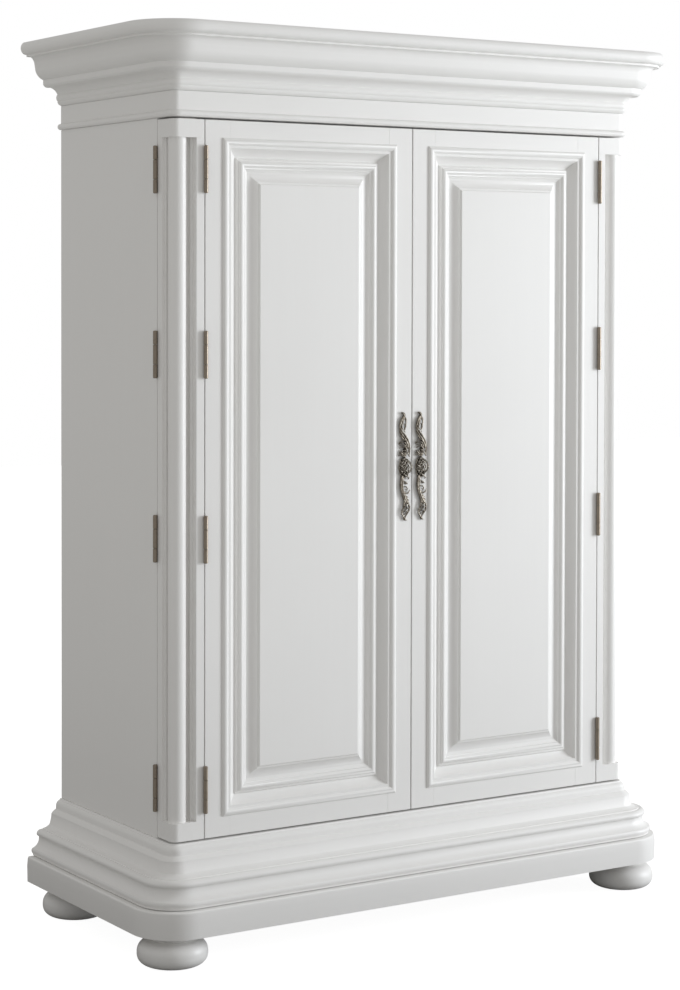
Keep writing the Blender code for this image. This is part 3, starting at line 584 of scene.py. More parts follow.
for node, grain_axis, finish in (
    ("side_left", (0, 0, 1), SPRAYED_LACQUER),
    ("side_right", (0, 0, 1), SPRAYED_LACQUER),
    ("back_panel", (0, 0, 1), SPRAYED_LACQUER),
    ("shelf", (1, 0, 0), INSIDE_LACQUER),
):
    bm = bmesh.new()
    plank(bm, *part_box(node), grain_axis)
    add_piece(bm, node + "_board", "case", finish, [node], eased=BOARD_EDGE)

# %% [markdown]
# ### Case top and bottom
# These two are notched at the front corners, because the posts swing through there.

# %% Notched boards
NOTCH_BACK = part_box("side_left")[0].y
for node in ("case_top", "case_bottom"):
    low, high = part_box(node)
    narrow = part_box("right_door_frame")[1].x
    half = [(narrow, low.y), (narrow, NOTCH_BACK), (high.x, NOTCH_BACK), (high.x, high.y)]
    outline = [(-x, y) for x, y in reversed(half)] + half
    bm = bmesh.new()
    board(bm, outline, lambda a, b, end: (a, b, high.z if end else low.z), (1, 0, 0))
    add_piece(bm, node + "_board", "case", INSIDE_LACQUER, [node], eased=BOARD_EDGE)

# %% [markdown]
# ## Corner posts with an engaged column
# Between two plain blocks, the outer corner of each post is cut back to a three-quarter column
# that stands in a recess. It is easiest to see in plan: we draw the plan once for the blocks and
# once for the column, in millimetres across and back from the corner, and extrude both.

# %% Posts
BLOCK_HEIGHT = 38 * MM
# places in the plan, in millimetres across or back from the corner
POST_ACROSS, POST_BACK = 74.5, 65.5
FRONT_STRIP = 56.0  # where the flat strip beside the door begins
LEDGE_BACK = 15.5  # the first step down from that strip
POCKET_ACROSS = 50.0  # the wall of the deep part beside the column
COLUMN_AXIS, COLUMN_RADIUS = 23.0, 19.0  # the axis is as far across as it is back
STEP_ACROSS, STEP_BACK = 6.0, 41.5  # the small step where the column dies into the post
SIDE_STRIP = 46.0  # where the flat strip beside the case side begins


def block_plan():
    radius = CORNER_RADIUS / MM
    plan = [(POST_ACROSS, 0.0), (POST_ACROSS, POST_BACK), (0.0, POST_BACK)]
    for i in range(13):
        angle = i * math.pi / 24
        plan.append((radius * (1 - math.cos(angle)), radius * (1 - math.sin(angle))))
    return plan


def column_plan():
    """The back of the post, the side strip, the step, the column, the pocket and the ledge."""
    plan = [(POST_ACROSS, 0.0), (POST_ACROSS, POST_BACK), (0.0, POST_BACK), (0.0, SIDE_STRIP),
            (STEP_ACROSS, SIDE_STRIP), (STEP_ACROSS, STEP_BACK)]
    last = math.pi + math.asin((STEP_BACK - COLUMN_AXIS) / COLUMN_RADIUS)
    for i in range(49):
        angle = last * (1 - i / 48)
        across = COLUMN_AXIS + COLUMN_RADIUS * math.cos(angle)
        plan.append((across, COLUMN_AXIS - COLUMN_RADIUS * math.sin(angle)))
    return plan + [(POCKET_ACROSS, COLUMN_AXIS), (POCKET_ACROSS, LEDGE_BACK),
                   (FRONT_STRIP, LEDGE_BACK), (FRONT_STRIP, 0.0)]


def corner_post(word, side):
    def upright(low, high):
        return lambda a, b, end: (
            side * (HALF_WIDTH - a * MM), FRONT + b * MM, high if end else low)

    foot, head = LEAF_FOOT + BLOCK_HEIGHT, LEAF_HEAD - BLOCK_HEIGHT
    bm = bmesh.new()
    board(bm, block_plan(), upright(LEAF_FOOT, foot), (0, 0, 1))
    board(bm, column_plan(), upright(foot, head), (0, 0, 1))
    board(bm, block_plan(), upright(head, LEAF_HEAD), (0, 0, 1))
    add_piece(bm, word + "_post_turning", word + "_post", SPRAYED_LACQUER,
              [word + "_post"], eased=0.9 * MM, crease=30)


for word, side in (("left", -1), ("right", 1)):
    corner_post(word, side)

# %% [markdown]
# ## Doors
# A door is a flat frame of two stiles and two rails, a bold moulding laid round the inside of the
# frame, and a raised panel in a groove behind it. Stiles run the full height and the rails fit
# between them. The moulding and the panel are drawn as outlines that go round a rectangle with
# mitred corners, so one function makes both.

# %% Frames of the doors
STILE = 60 * MM
STILE_FLAT = 40 * MM
TOP_FLAT = 36 * MM
BOTTOM_FLAT = 40.8 * MM
HIDDEN = STILE - STILE_FLAT


def door_frame(word):
    low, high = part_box(word + "_door_frame")
    foot_rail, head_rail = low.z + BOTTOM_FLAT + HIDDEN, high.z - TOP_FLAT - HIDDEN
    bm = bmesh.new()
    for left, right in ((low.x, low.x + STILE), (high.x - STILE, high.x)):
        plank(bm, Vector((left, low.y, low.z)), Vector((right, high.y, high.z)), (0, 0, 1))
    for foot, head in ((low.z, foot_rail), (head_rail, high.z)):
        start = Vector((low.x + STILE, low.y, foot))
        plank(bm, start, Vector((high.x - STILE, high.y, head)), (1, 0, 0))
    add_piece(bm, word + "_door_stiles_and_rails", word + "_door", SPRAYED_LACQUER,
              [word + "_door_frame"], eased=0.5 * MM)


for word in ("left", "right"):
    door_frame(word)

# %% [markdown]
# ### Moulding and raised panel
# From the flat of the frame inwards: a torus that stands 5 mm proud, a fillet, a long hollow that
# falls 17 mm, a bead, and a small ovolo that laps the panel. The panel rises out of its groove in
# a shallow hollow bevel, takes a small step and becomes the flat field.

# %% Mouldings and panels
DOOR_MOULDING = (
    (0.4, 0.3, 0.0),
    (0.8, 15.5, 0.62),
    (0.6, 21.0, 0.0),
    (-16.7, 39.4, -0.18),
    (-12.0, 43.5, -0.15),
    (-11.6, 47.0, 0.0),
    (-11.0, 58.5, 0.60),
    (-12.2, 60.5, 0.0),
    (-14.8, 64.8, 0.30),
    (-17.5, 69.5, 0.0),
)
PANEL = (
    (-17.8, 0.0, 0.0),
    (-17.8, 1.0, 0.0),
    (-8.2, 20.5, -0.25),
    (-7.6, 23.5, 0.0),
    (-4.8, 26.5, 0.0),
)
PANEL_BACK = 24 * MM
PANEL_LAP = 10 * MM
CLEAR = 0.3 * MM


def mitred(bm, section, low, high, closed):
    """Carries (height, inset) points round a door's rectangle from low to high, as (x, z)."""
    grain = bm.loops.layers.uv.new("grain")
    corners = ((low[0], low[1], 1, 1), (high[0], low[1], -1, 1),
               (high[0], high[1], -1, -1), (low[0], high[1], 1, -1))
    lines = [[bm.verts.new((x + s * p.y, FRONT - p.x, z + t * p.y)) for p in section]
             for x, z, s, t in corners]
    across = lengths_along(section + section[:1])
    last = len(section) if closed else len(section) - 1
    for i in range(4):
        a, b = lines[i], lines[(i + 1) % 4]
        for j in range(last):
            k = (j + 1) % len(section)
            face = bm.faces.new((a[j], a[k], b[k], b[j]))
            for loop, v in zip(face.loops, (across[j], across[j + 1], across[j + 1], across[j])):
                loop[grain].uv = (loop.vert.co.x if i % 2 == 0 else loop.vert.co.z, v)
    if not closed:
        for end in (0, -1):
            face = bm.faces.new([line[end] for line in lines])
            for loop in face.loops:
                loop[grain].uv = (loop.vert.co.z, loop.vert.co.x)


def door_field(word):
    low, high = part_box(word + "_door_frame")
    flat_low = (low.x + STILE_FLAT, low.z + BOTTOM_FLAT)
    flat_high = (high.x - STILE_FLAT, high.z - TOP_FLAT)
    face = outline_of(DOOR_MOULDING, 14)
    tip = face[-1]
    edge = tip.y - PANEL_LAP
    section = face + [Vector((tip.x, edge - CLEAR)), Vector((-PANEL_BACK, edge - CLEAR))]
    section += [Vector((-PANEL_BACK, HIDDEN + CLEAR)), Vector((CLEAR, HIDDEN + CLEAR)),
                Vector((CLEAR, face[0].y))]
    bm = bmesh.new()
    mitred(bm, section, flat_low, flat_high, True)
    add_piece(bm, word + "_door_moulding_lengths", word + "_door", SPRAYED_LACQUER,
              [word + "_door_moulding"], crease=28)
    rise = outline_of(PANEL, 14)
    section = [Vector((-PANEL_BACK, edge)), Vector((rise[0].x, edge))]
    section += [Vector((p.x, tip.y + p.y)) for p in rise]
    bm = bmesh.new()
    mitred(bm, section, flat_low, flat_high, False)
    add_piece(bm, word + "_door_raised_panel", word + "_door", SPRAYED_LACQUER,
              [word + "_door_panel"], crease=12)


for word in ("left", "right"):
    door_field(word)

# %% [markdown]
# ## Hinges
# Sixteen butt hinges carry the posts and the doors. Each has two leaves let into the edges of the
# wood and three knuckles rolled round a pin. The leaf with the outer knuckles also holds the pin,
# which ends in two small domed heads. We build the two leaves once, about an upright axis, and lay
# a copy where each hinge of the model is. Knuckles have chamfered ends, so that the joint between
# them reads as a fine dark ring.

# %% Leaves, knuckles and screws
BARREL = 4.6 * MM
STANDOFF = 5.0 * MM  # the face of the wood, measured from the pin
LEAF_NEAR, LEAF_FAR = 0.2 * MM, 1.6 * MM
LEAF_DEPTH = 17.5 * MM
HALF_LENGTH = 49 * MM
SPLIT = 20.5 * MM
KNUCKLE_GAP = 0.3 * MM  # half the gap between two knuckles
KNUCKLE_CHAMFER = 0.7 * MM
WEB_START = 2.2 * MM  # from the pin to where the web leaves its knuckle
PIN_RADIUS, PIN_HEAD = 1.7 * MM, 3.4 * MM
HEAD_STANDS = 0.6 * MM  # how far a pin head stands out of its knuckle
SCREW_HEAD = 2.6 * MM
HINGE_SCREWS = ((-41, 6.0), (-33, 12.5), (33, 12.5), (41, 6.0))  # along and into the edge, in mm
SLOT_ANGLE = math.asin(0.12)  # half the width of a screw's slot, seen from its middle
SCREW_DOME = ((1.0, 0.0), (0.95, 0.25 * MM), (0.6, 0.45 * MM))  # share of the radius, height


def drum(bm, low, high, radius, chamfer, turns=28):
    """A closed upright cylinder about the pin, with chamfered ends."""
    outline = [(0.0, high), (radius - chamfer, high), (radius, high - chamfer),
               (radius, low + chamfer), (radius - chamfer, low), (0.0, low)]
    turned(bm, outline, turns, Matrix())


def slotted_screw(bm, place, radius):
    """A countersunk screw seen from above: a shallow dome with a straight slot across it."""
    for half in (-1, 1):
        turns = [half * (math.pi / 2 - SLOT_ANGLE) * (1 - i / 5) for i in range(11)]
        outline = [(half * radius * math.cos(turn), radius * math.sin(turn)) for turn in turns]
        loops = [[place @ Vector((a * share, b * share, lift)) for a, b in outline]
                 for share, lift in SCREW_DOME]
        skin(bm, loops, False, lambda *corner: (0.0, 0.0))


def leaf_with(bm, side, knuckles):
    """A leaf on that side of the gap, the webs of its knuckles, and its screws."""
    near, far = sorted((side * LEAF_NEAR, side * LEAF_FAR))
    plank(bm, Vector((near, STANDOFF, -HALF_LENGTH)), Vector((far, STANDOFF + LEAF_DEPTH, HALF_LENGTH)),
          (0, 0, 1))
    for low, high in knuckles:
        plank(bm, Vector((near, WEB_START, low)), Vector((far, STANDOFF + 1 * MM, high)), (0, 0, 1))
        drum(bm, low, high, BARREL, KNUCKLE_CHAMFER)
    turn = Matrix.Rotation(-side * math.pi / 2, 4, "Y")
    for height, depth in HINGE_SCREWS:
        spot = Vector((side * LEAF_NEAR, STANDOFF + depth * MM, height * MM))
        slotted_screw(bm, Matrix.Translation(spot) @ turn, SCREW_HEAD)


def leaf_meshes():
    """The leaf that holds the pin, and the leaf that swings on it."""
    outer = ((-HALF_LENGTH, -SPLIT - KNUCKLE_GAP), (SPLIT + KNUCKLE_GAP, HALF_LENGTH))
    holding = bmesh.new()
    leaf_with(holding, -1, outer)
    drum(holding, -SPLIT - 2 * MM, SPLIT + 2 * MM, PIN_RADIUS, 0.2 * MM)
    for end in (-1, 1):
        low, high = sorted((end * (HALF_LENGTH - 1 * MM), end * (HALF_LENGTH + HEAD_STANDS)))
        drum(holding, low, high, PIN_HEAD, 0.5 * MM)
    swinging = bmesh.new()
    leaf_with(swinging, 1, ((-SPLIT + KNUCKLE_GAP, SPLIT - KNUCKLE_GAP),))
    return holding, swinging


# %% Hang the hinges
HOLDING, SWINGING = leaf_meshes()
OWNER_BODY = {"case": "case", "post": "{}_post", "door": "{}_door"}


def hinge_leaf(word, line, number, owner, source, place):
    node = f"{word}_{line}_{number}_{owner}_leaf"
    bm = source.copy()
    bm.transform(place)
    add_piece(bm, node + "_plate", OWNER_BODY[owner].format(word), AGED_NICKEL, [node],
              crease=30)


for word, side in (("left", -1), ("right", 1)):
    across, back = Vector((-side, 0, 0)), Vector((0, 1, 0))
    for line, inward, to_moving, held, moving in (
        ("side_hinge", across, -back, "case", "post"),
        ("door_hinge", back, across, "post", "door"),
    ):
        turn = Matrix((to_moving, inward, to_moving.cross(inward))).transposed().to_4x4()
        joint = next(j for j in frame["joints"] if j["name"] ==
                     f"{word}_{'post' if line == 'side_hinge' else 'door'}_hinge")
        for number in range(1, 5):
            low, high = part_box(f"{word}_{line}_{number}_{held}_leaf")
            place = Matrix.Translation((*joint["pos_m"][:2], (low.z + high.z) / 2)) @ turn
            hinge_leaf(word, line, number, held, HOLDING, place)
            hinge_leaf(word, line, number, moving, SWINGING, place)
HOLDING.free()
SWINGING.free()

# %% [markdown]
# ## Cast handles
# Each door has a tall leafy handle, cast in one piece: an S-shaped stem of acanthus strands, an
# oval basket of woven ribs in the middle, scrolls to the sides, and a wire loop to pull. Carving
# that from a block would be slow. We do what the pattern maker does with wax: roll strands, press
# them together, and let them melt into one body. Each strand is a line of points with a width. A
# voxel remesh then fuses them, as the wax would, and the fillets between them come by themselves.

# %% Roll a strand of wax
HANDLE_FOOT, HANDLE_HEAD = (corner.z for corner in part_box("left_handle_plate"))
HANDLE_MIDDLE = (HANDLE_FOOT + HANDLE_HEAD) / 2
DOOR_FACE = FRONT - 0.3 * MM
STRAND_SIDES = 10


def smooth_path(points, steps):
    """A Catmull-Rom curve through points of any number of values."""
    spots = [Vector(p) for p in points]
    spots = [2 * spots[0] - spots[1]] + spots + [2 * spots[-1] - spots[-2]]
    path = []
    for a, b, c, d in zip(spots, spots[1:], spots[2:], spots[3:]):
        for i in range(steps):
            t = i / steps
            path.append(0.5 * (2 * b + (c - a) * t + (2 * a - 5 * b + 4 * c - d) * t**2
                               + (3 * b - a - 3 * c + d) * t**3))
    return path + [spots[-2]]


def strand(bm, points, steps=5):
    """Adds a strand. Points are (across, up, lift, half width) in millimetres on the door."""
    path = smooth_path(points, steps)
    rings = []
    for i, spot in enumerate(path):
        ahead = path[min(i + 1, len(path) - 1)] - path[max(i - 1, 0)]
        along = Vector((ahead[0], -ahead[2], ahead[1])).normalized()
        middle = Vector((spot[0], -spot[2], spot[1]))
        wide = along.cross(Vector((0, 1, 0)))
        wide = wide.normalized() if wide.length > 0.1 else Vector((1, 0, 0))
        thick = along.cross(wide)
        half = max(spot[3], 0.35)
        ring = []
        for k in range(STRAND_SIDES):
            turn = 2 * math.pi * k / STRAND_SIDES
            ring.append(middle + half * (wide * math.cos(turn) + 0.9 * thick * math.sin(turn)))
        rings.append(ring)
    skin(bm, rings, False, lambda *corner: (0.0, 0.0))


# %% [markdown]
# ### The strands of the handle
# The list goes from the top leaf down to the bottom one. The numbers are millimetres from the
# middle of the handle: across, up, lift off the door, and half the width of the strand.

# %% Model the casting
STRANDS = (
    # top leaf and neck
    ((1, 105, 2.6, 1.8), (0.5, 110, 3.4, 2.4), (-2.5, 114.2, 3.6, 2.6), (-7, 116.6, 2.8, 1.2)),
    ((2, 107, 2.6, 1.6), (1.5, 112, 3.4, 1.8), (-1.5, 116.4, 3.0, 1.3)),
    # outer and inner strand of the upper stem
    ((0, 109, 2.8, 2.2), (-5, 102, 3.6, 2.6), (-8.6, 94, 4.2, 2.4), (-10.4, 86, 4.4, 1.9),
     (-11, 80, 3.6, 1.0)),
    ((1, 107, 2.8, 1.9), (-2, 100, 4.2, 2.0), (-4.4, 93, 4.8, 1.8), (-5.6, 86, 4.6, 1.6),
     (-4.5, 80, 4.0, 1.4)),
    # side leaf at the upper right, with the opening inside it
    ((1, 106, 2.6, 1.7), (4, 103, 3.2, 2.0), (6.6, 98.5, 2.6, 1.0)),
    ((2.5, 104, 2.6, 1.4), (5, 97, 3.2, 1.7), (4.2, 91, 3.8, 1.5), (3.4, 84, 3.8, 1.4),
     (1, 77, 3.6, 1.3)),
    ((0.6, 93, 2.4, 0.9), (2, 87, 3.4, 1.2), (0.6, 81, 3.4, 1.2)),
    # the crossing diagonal ridges
    ((-10.6, 88, 3.2, 1.0), (-7, 79, 4.6, 1.6), (-0.5, 70, 5.4, 1.8), (6.5, 60.5, 5.2, 1.8),
     (12, 48, 4.4, 1.7), (13.8, 35, 3.6, 1.5), (13, 24, 2.8, 1.0)),
    ((-10.8, 83, 2.8, 0.9), (-8.5, 75, 4.2, 1.5), (-3, 66, 5.2, 1.7), (3.2, 57.5, 5.4, 1.7),
     (8.6, 47, 5.0, 1.6), (10.6, 37, 4.2, 1.4), (10.4, 28, 3.4, 1.0)),
    ((-10, 77, 2.6, 0.9), (-9, 71, 3.6, 1.4), (-5.6, 63.5, 4.4, 1.6), (-1, 57, 4.6, 1.4)),
    ((-10, 82, 3.0, 0.9), (-5, 82.5, 4.8, 1.1), (0, 77, 5.0, 1.1), (2.4, 73, 4.4, 0.9)),
    # fan of three arched leaf ridges
    ((-13, 49.5, 2.2, 0.8), (-8, 54.8, 3.8, 1.5), (-2, 57.6, 5.0, 1.7), (3.6, 54.6, 5.6, 1.7),
     (7.6, 47.5, 5.2, 1.5), (8.6, 40, 4.4, 1.2)),
    ((-12.4, 47.2, 2.2, 0.8), (-7, 51, 4.2, 1.4), (-1.4, 52.4, 5.4, 1.5), (3.2, 48.6, 5.6, 1.4),
     (5.6, 42, 4.8, 1.2)),
    ((-11.2, 44.8, 2.2, 0.8), (-6, 47, 4.0, 1.3), (-1, 47.2, 5.0, 1.3), (2.4, 43.4, 5.0, 1.1)),
    # volute round its eye
    ((-11, 38.6, 2.4, 0.9), (-6, 42, 4.2, 1.6), (0, 42, 5.4, 1.7), (4.6, 37.6, 5.8, 1.6),
     (4.2, 31.4, 5.4, 1.5), (-0.6, 28.6, 4.8, 1.4), (-4.6, 31.6, 4.4, 1.2), (-3, 35.4, 4.6, 1.0)),
    ((-0.4, 35.4, 4.6, 1.7), (0.8, 34.2, 6.2, 2.0), (1.8, 33.2, 4.6, 1.5)),
    ((-10.6, 35.2, 2.4, 0.9), (-7.6, 30.4, 4.0, 1.5), (-4, 26, 4.6, 1.5), (1.6, 24.4, 5.0, 1.4),
     (7, 26.8, 4.6, 1.3)),
    ((-13.2, 23.4, 2.2, 0.7), (-8.6, 25.4, 3.8, 1.5), (-3.4, 22, 4.8, 1.5), (2.4, 20.6, 5.0, 1.3)),
    ((-12.2, 28, 2.2, 0.8), (-8, 29.2, 3.6, 1.2), (-5.4, 24.6, 4.2, 1.1)),
    ((6.4, 31.4, 3.8, 1.2), (9.6, 27.2, 4.2, 1.4), (11.6, 22.8, 4.2, 1.6), (13.2, 20.6, 3.6, 1.3)),
    # stem under the basket
    ((-4, -20, 3.0, 2.0), (-6, -27, 3.6, 2.5), (-7.4, -39, 4.0, 2.6), (-6.4, -50, 4.0, 2.3),
     (-3.4, -62, 4.0, 2.2), (1, -73, 4.0, 2.1), (5, -82, 3.6, 1.7)),
    ((-2.2, -22, 3.2, 1.7), (-3, -30, 4.6, 1.9), (-3.6, -41, 4.8, 1.9), (-2.8, -52, 4.8, 1.7),
     (0, -62, 5.0, 1.7), (3.6, -71, 5.0, 1.6), (8, -79, 4.4, 1.4)),
    # dark curl and the small leaf below it
    ((1, -20, 3.4, 1.2), (5.6, -21.6, 4.0, 1.6), (10.2, -23.4, 3.8, 1.7), (11.6, -26.6, 3.2, 1.3),
     (8.6, -28, 3.0, 0.9)),
    ((-3, -30, 3.0, 1.2), (1.6, -33, 4.0, 1.7), (6, -35.6, 3.8, 2.0), (9.4, -38.6, 2.8, 0.9)),
    ((-2.6, -35, 3.0, 1.0), (2, -37.2, 3.4, 1.2), (6, -38.8, 2.8, 0.8)),
    # C-scroll on the right
    ((-3, -43, 3.0, 1.3), (0.4, -43.6, 4.0, 1.5), (5, -44.4, 4.4, 1.5), (7.6, -48, 4.4, 1.4),
     (5, -51.2, 4.6, 1.4), (2.2, -48.6, 4.6, 1.2)),
    ((-3.4, -49, 3.0, 1.2), (-0.6, -54.6, 4.2, 1.6), (4.8, -58.6, 4.6, 1.8), (10.4, -57, 4.2, 1.7),
     (14, -53, 3.2, 1.1), (14.8, -50.4, 2.6, 0.7)),
    # leaf ridges on the right of the lower stem
    ((-0.6, -58, 3.6, 1.1), (4, -63, 4.4, 1.4), (8.6, -66.4, 3.6, 1.2), (11.4, -67.8, 2.6, 0.7)),
    ((1.2, -63, 3.8, 1.1), (5.8, -68.4, 4.6, 1.4), (10.2, -72.4, 3.8, 1.2), (12.6, -74.4, 2.6, 0.7)),
    ((3.4, -69, 3.8, 1.1), (7.8, -74.2, 4.4, 1.4), (11.6, -79, 3.6, 1.1)),
    # the bulb: two outer strands with spiral ridges and openings between them
    ((5, -74, 3.8, 1.6), (10, -80.5, 4.4, 2.0), (12.4, -88, 4.6, 2.1), (11, -96, 4.4, 2.0),
     (6.8, -103, 4.0, 1.8), (3, -109, 3.6, 1.7), (2, -115, 3.2, 1.4)),
    ((1, -72, 3.8, 1.6), (0.4, -80, 4.2, 1.8), (-1.6, -88, 4.4, 1.7), (-4.8, -96, 4.2, 1.7),
     (-5, -102, 4.0, 1.6), (-1.6, -107, 3.8, 1.7), (0.6, -112, 3.4, 1.6), (3, -116.4, 2.8, 1.2)),
    ((11.4, -82, 4.2, 1.0), (6, -83.4, 6.0, 1.5), (0.6, -88, 5.6, 1.4), (-2.6, -93.6, 4.4, 1.0)),
    ((12, -88.6, 4.2, 1.0), (7.2, -90, 6.4, 1.6), (1.4, -94.6, 5.8, 1.4), (-4.2, -99.4, 4.2, 1.0)),
    ((11, -95.2, 4.0, 1.0), (6.6, -97, 6.0, 1.5), (2.6, -101.6, 5.2, 1.3), (-1.6, -105.6, 4.0, 1.0)),
    ((5.6, -79, 4.2, 1.2), (6.6, -85, 4.0, 1.2), (5.2, -92, 3.6, 1.2), (2.8, -98, 3.2, 1.0)),
    # bottom leaf
    ((0.4, -108, 3.2, 1.5), (2.4, -113.4, 3.6, 1.9), (5.2, -116.2, 3.0, 1.4), (8.2, -116, 2.2, 0.7)),
    ((-1, -109, 2.8, 1.2), (0.2, -114.4, 3.0, 1.5), (2, -117, 2.6, 1.0)),
    # the thin web at the back that everything sits on
    ((0, 108, 1.5, 1.4), (-5.5, 97, 1.6, 2.0), (-8, 84, 1.6, 2.0), (-4, 70, 1.8, 3.0),
     (4, 57, 1.8, 3.6), (6.4, 44, 1.8, 4.0), (2, 32, 1.8, 4.6), (0, 22, 1.8, 5.0)),
    ((-2, -20, 1.6, 3.6), (-5.4, -34, 1.6, 2.8), (-4.6, -50, 1.6, 2.4), (0.4, -66, 1.6, 2.6),
     (5.6, -80, 1.6, 3.0)),
)
BASKET_HALF = (11.8, 21.5)  # half width and half height of the oval basket
BASKET_MIDDLE = (0.6, -2.5)
BASKET_EDGE, BASKET_DOME = 2.4, 7.0  # lift of the ribs at the rim and in the middle
BASKET_RIBS = 4  # to either side of the middle one
RIB_SPACING, RIB_LEAN, RIB_HALF = 6.0, 0.6, 0.9
RIB_WEAVE = 0.8  # how far a rib goes over and under the others
RIM_LOBES, RIM_WAVE = 8, 0.05
FLOOR_STRANDS = (-7, -3.5, 0, 3.5, 7)


def basket(bm):
    """Two sets of slanting ribs, woven over an oval dome, and its rim."""
    wide, tall = BASKET_HALF
    middle_x, middle_z = BASKET_MIDDLE
    for lean in (-1, 1):
        for rib in range(-BASKET_RIBS, BASKET_RIBS + 1):
            points = []
            for step in range(13):
                up = tall * (step / 6 - 1)
                across = rib * RIB_SPACING + lean * up * RIB_LEAN
                distance = (across / wide) ** 2 + (up / tall) ** 2
                if distance < 1.0:
                    over = RIB_WEAVE * math.cos(math.pi * (step + rib + (lean > 0)))
                    rise = (BASKET_DOME - BASKET_EDGE) * math.sqrt(1 - distance)
                    points.append(
                        (middle_x + across, middle_z + up, BASKET_EDGE + rise + over, RIB_HALF))
            if len(points) > 2:
                strand(bm, points, 3)
    rim = []
    for i in range(25):
        angle = 2 * math.pi * i / 24
        lobe = 1 + RIM_WAVE * math.cos(RIM_LOBES * angle)
        rim.append((middle_x + wide * lobe * math.cos(angle),
                    middle_z + tall * lobe * math.sin(angle), 2.8, 1.5))
    strand(bm, rim, 3)
    for x in FLOOR_STRANDS:  # they close the basket at the back
        reach = (tall - 2) * math.sqrt(1 - (x / wide) ** 2)
        strand(bm, [(middle_x + x, middle_z + s * reach, 0.2, 2.0) for s in (-1, 0, 1)], 4)


# %% Melt the strands into one casting
WAX_VOXEL = 0.55 * MM
wax = bmesh.new()
for points in STRANDS:
    strand(wax, points)
basket(wax)
bmesh.ops.recalc_face_normals(wax, faces=wax.faces)
wax_mesh = bpy.data.meshes.new("wax")
wax.transform(Matrix.Scale(MM, 4))
wax.to_mesh(wax_mesh)
wax.free()
wax_model = bpy.data.objects.new("wax", wax_mesh)
bpy.context.scene.collection.objects.link(wax_model)
melting = wax_model.modifiers.new("melt", "REMESH")
melting.mode = "VOXEL"
melting.voxel_size = WAX_VOXEL
softening = wax_model.modifiers.new("soften", "SMOOTH")
softening.factor = 0.5
softening.iterations = 2
graph = bpy.context.evaluated_depsgraph_get()
cast_mesh = bpy.data.meshes.new_from_object(wax_model.evaluated_get(graph))
bpy.data.objects.remove(wax_model)
print("the casting has", len(cast_mesh.polygons), "faces")

# %% Hang a casting on each door
CASTING_WIDER = 1.12  # the wax is drawn a little narrow and short, and is stretched to size
CASTING_TALLER = (HANDLE_HEAD - HANDLE_FOOT) / (238 * MM)
CASTING_SHIFT = 1.5 * MM  # both castings sit to the left of their plates' middles
def drop_crumbs(bm):
    """Deletes the specks that the melting left loose, and keeps the one large body."""
    waiting, bodies = set(bm.verts), []
    while waiting:
        body, reach = set(), [waiting.pop()]
        while reach:
            vert = reach.pop()
            body.add(vert)
            near = {edge.other_vert(vert) for edge in vert.link_edges} & waiting
            waiting -= near
            reach += near
        bodies.append(body)
    bodies.sort(key=len)
    crumbs = [vert for body in bodies[:-1] for vert in body]
    bmesh.ops.delete(bm, geom=crumbs, context="VERTS")
    print("loose specks deleted:", len(bodies) - 1)


for word in ("left", "right"):
    low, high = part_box(word + "_handle_plate")
    bm = bmesh.new()
    bm.from_mesh(cast_mesh)
    drop_crumbs(bm)
    bm.transform(Matrix.Translation(((low.x + high.x) / 2 - CASTING_SHIFT, DOOR_FACE, HANDLE_MIDDLE))
                 @ Matrix.Diagonal((CASTING_WIDER, 1.0, CASTING_TALLER, 1.0)))
    for vert in bm.verts:
        vert.co.y = min(vert.co.y, DOOR_FACE)  # the back is filed flat
        vert.co.z = min(max(vert.co.z, HANDLE_FOOT), HANDLE_HEAD)
    add_piece(bm, word + "_handle_casting", word + "_door", ANTIQUE_SILVER,
              [word + "_handle_plate"], crease=180)

# %% [markdown]
# ### The pull
# A loop of cast wire stands out square to the door, with beads along it where the fingers grip.
# Its two ends go into small knuckles on the basket.

# %% Wire loops
# all in millimetres
PULL_RISE, PULL_REACH = 15.6, 27.0  # half its height, and how far it stands out
PULL_ROOT = 5.6  # where its two ends leave the basket
WIRE, BEAD, GRIP = 1.55, 0.5, 0.7  # radius, and what the beads and the middle grip add to it
BEADS = 9
KNUCKLE = ((0.0, 4.0), (1.8, 3.4), (2.9, 1.6), (2.9, -1.6), (1.8, -3.4), (0.0, -4.0))
PULL_STEPS, PULL_SIDES = 96, 16


def pull_ring(share):
    """A ring of points round the wire at that share of the way from its upper end to its lower."""
    angle = math.pi * share
    out = PULL_ROOT + (PULL_REACH - PULL_ROOT / 2) * math.sin(angle)
    middle = Vector((0, -out, PULL_RISE * math.cos(angle)))
    along = Vector((0, -PULL_REACH * math.cos(angle), -PULL_RISE * math.sin(angle))).normalized()
    wide = Vector((1, 0, 0))
    thick = wide.cross(along)
    swell = BEAD * abs(math.sin(BEADS * angle)) ** 0.7
    swell += GRIP * math.exp(-((share - 0.5) / 0.045) ** 2)
    half = WIRE + swell * min(1.0, 6 * min(share, 1 - share))
    turns = [2 * math.pi * k / PULL_SIDES for k in range(PULL_SIDES)]
    return [middle + half * (wide * math.cos(turn) + thick * math.sin(turn)) for turn in turns]


for word in ("left", "right"):
    low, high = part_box(word + "_handle_plate")
    bm = bmesh.new()
    rings = [pull_ring(i / PULL_STEPS) for i in range(PULL_STEPS + 1)]
    skin(bm, rings, False, lambda *corner: (0.0, 0.0))
    for end in (-1, 1):
        sideways = Matrix.Translation((0, -5.2, end * PULL_RISE)) @ Matrix.Rotation(math.pi / 2, 4, "Y")
        turned(bm, KNUCKLE, 20, sideways)
    hang = Matrix.Translation(((low.x + high.x) / 2, DOOR_FACE, HANDLE_MIDDLE))
    bm.transform(hang @ Matrix.Scale(MM, 4))
    add_piece(bm, word + "_pull_loop", word + "_door", ANTIQUE_SILVER, [word + "_handle_pull"],
              crease=180)

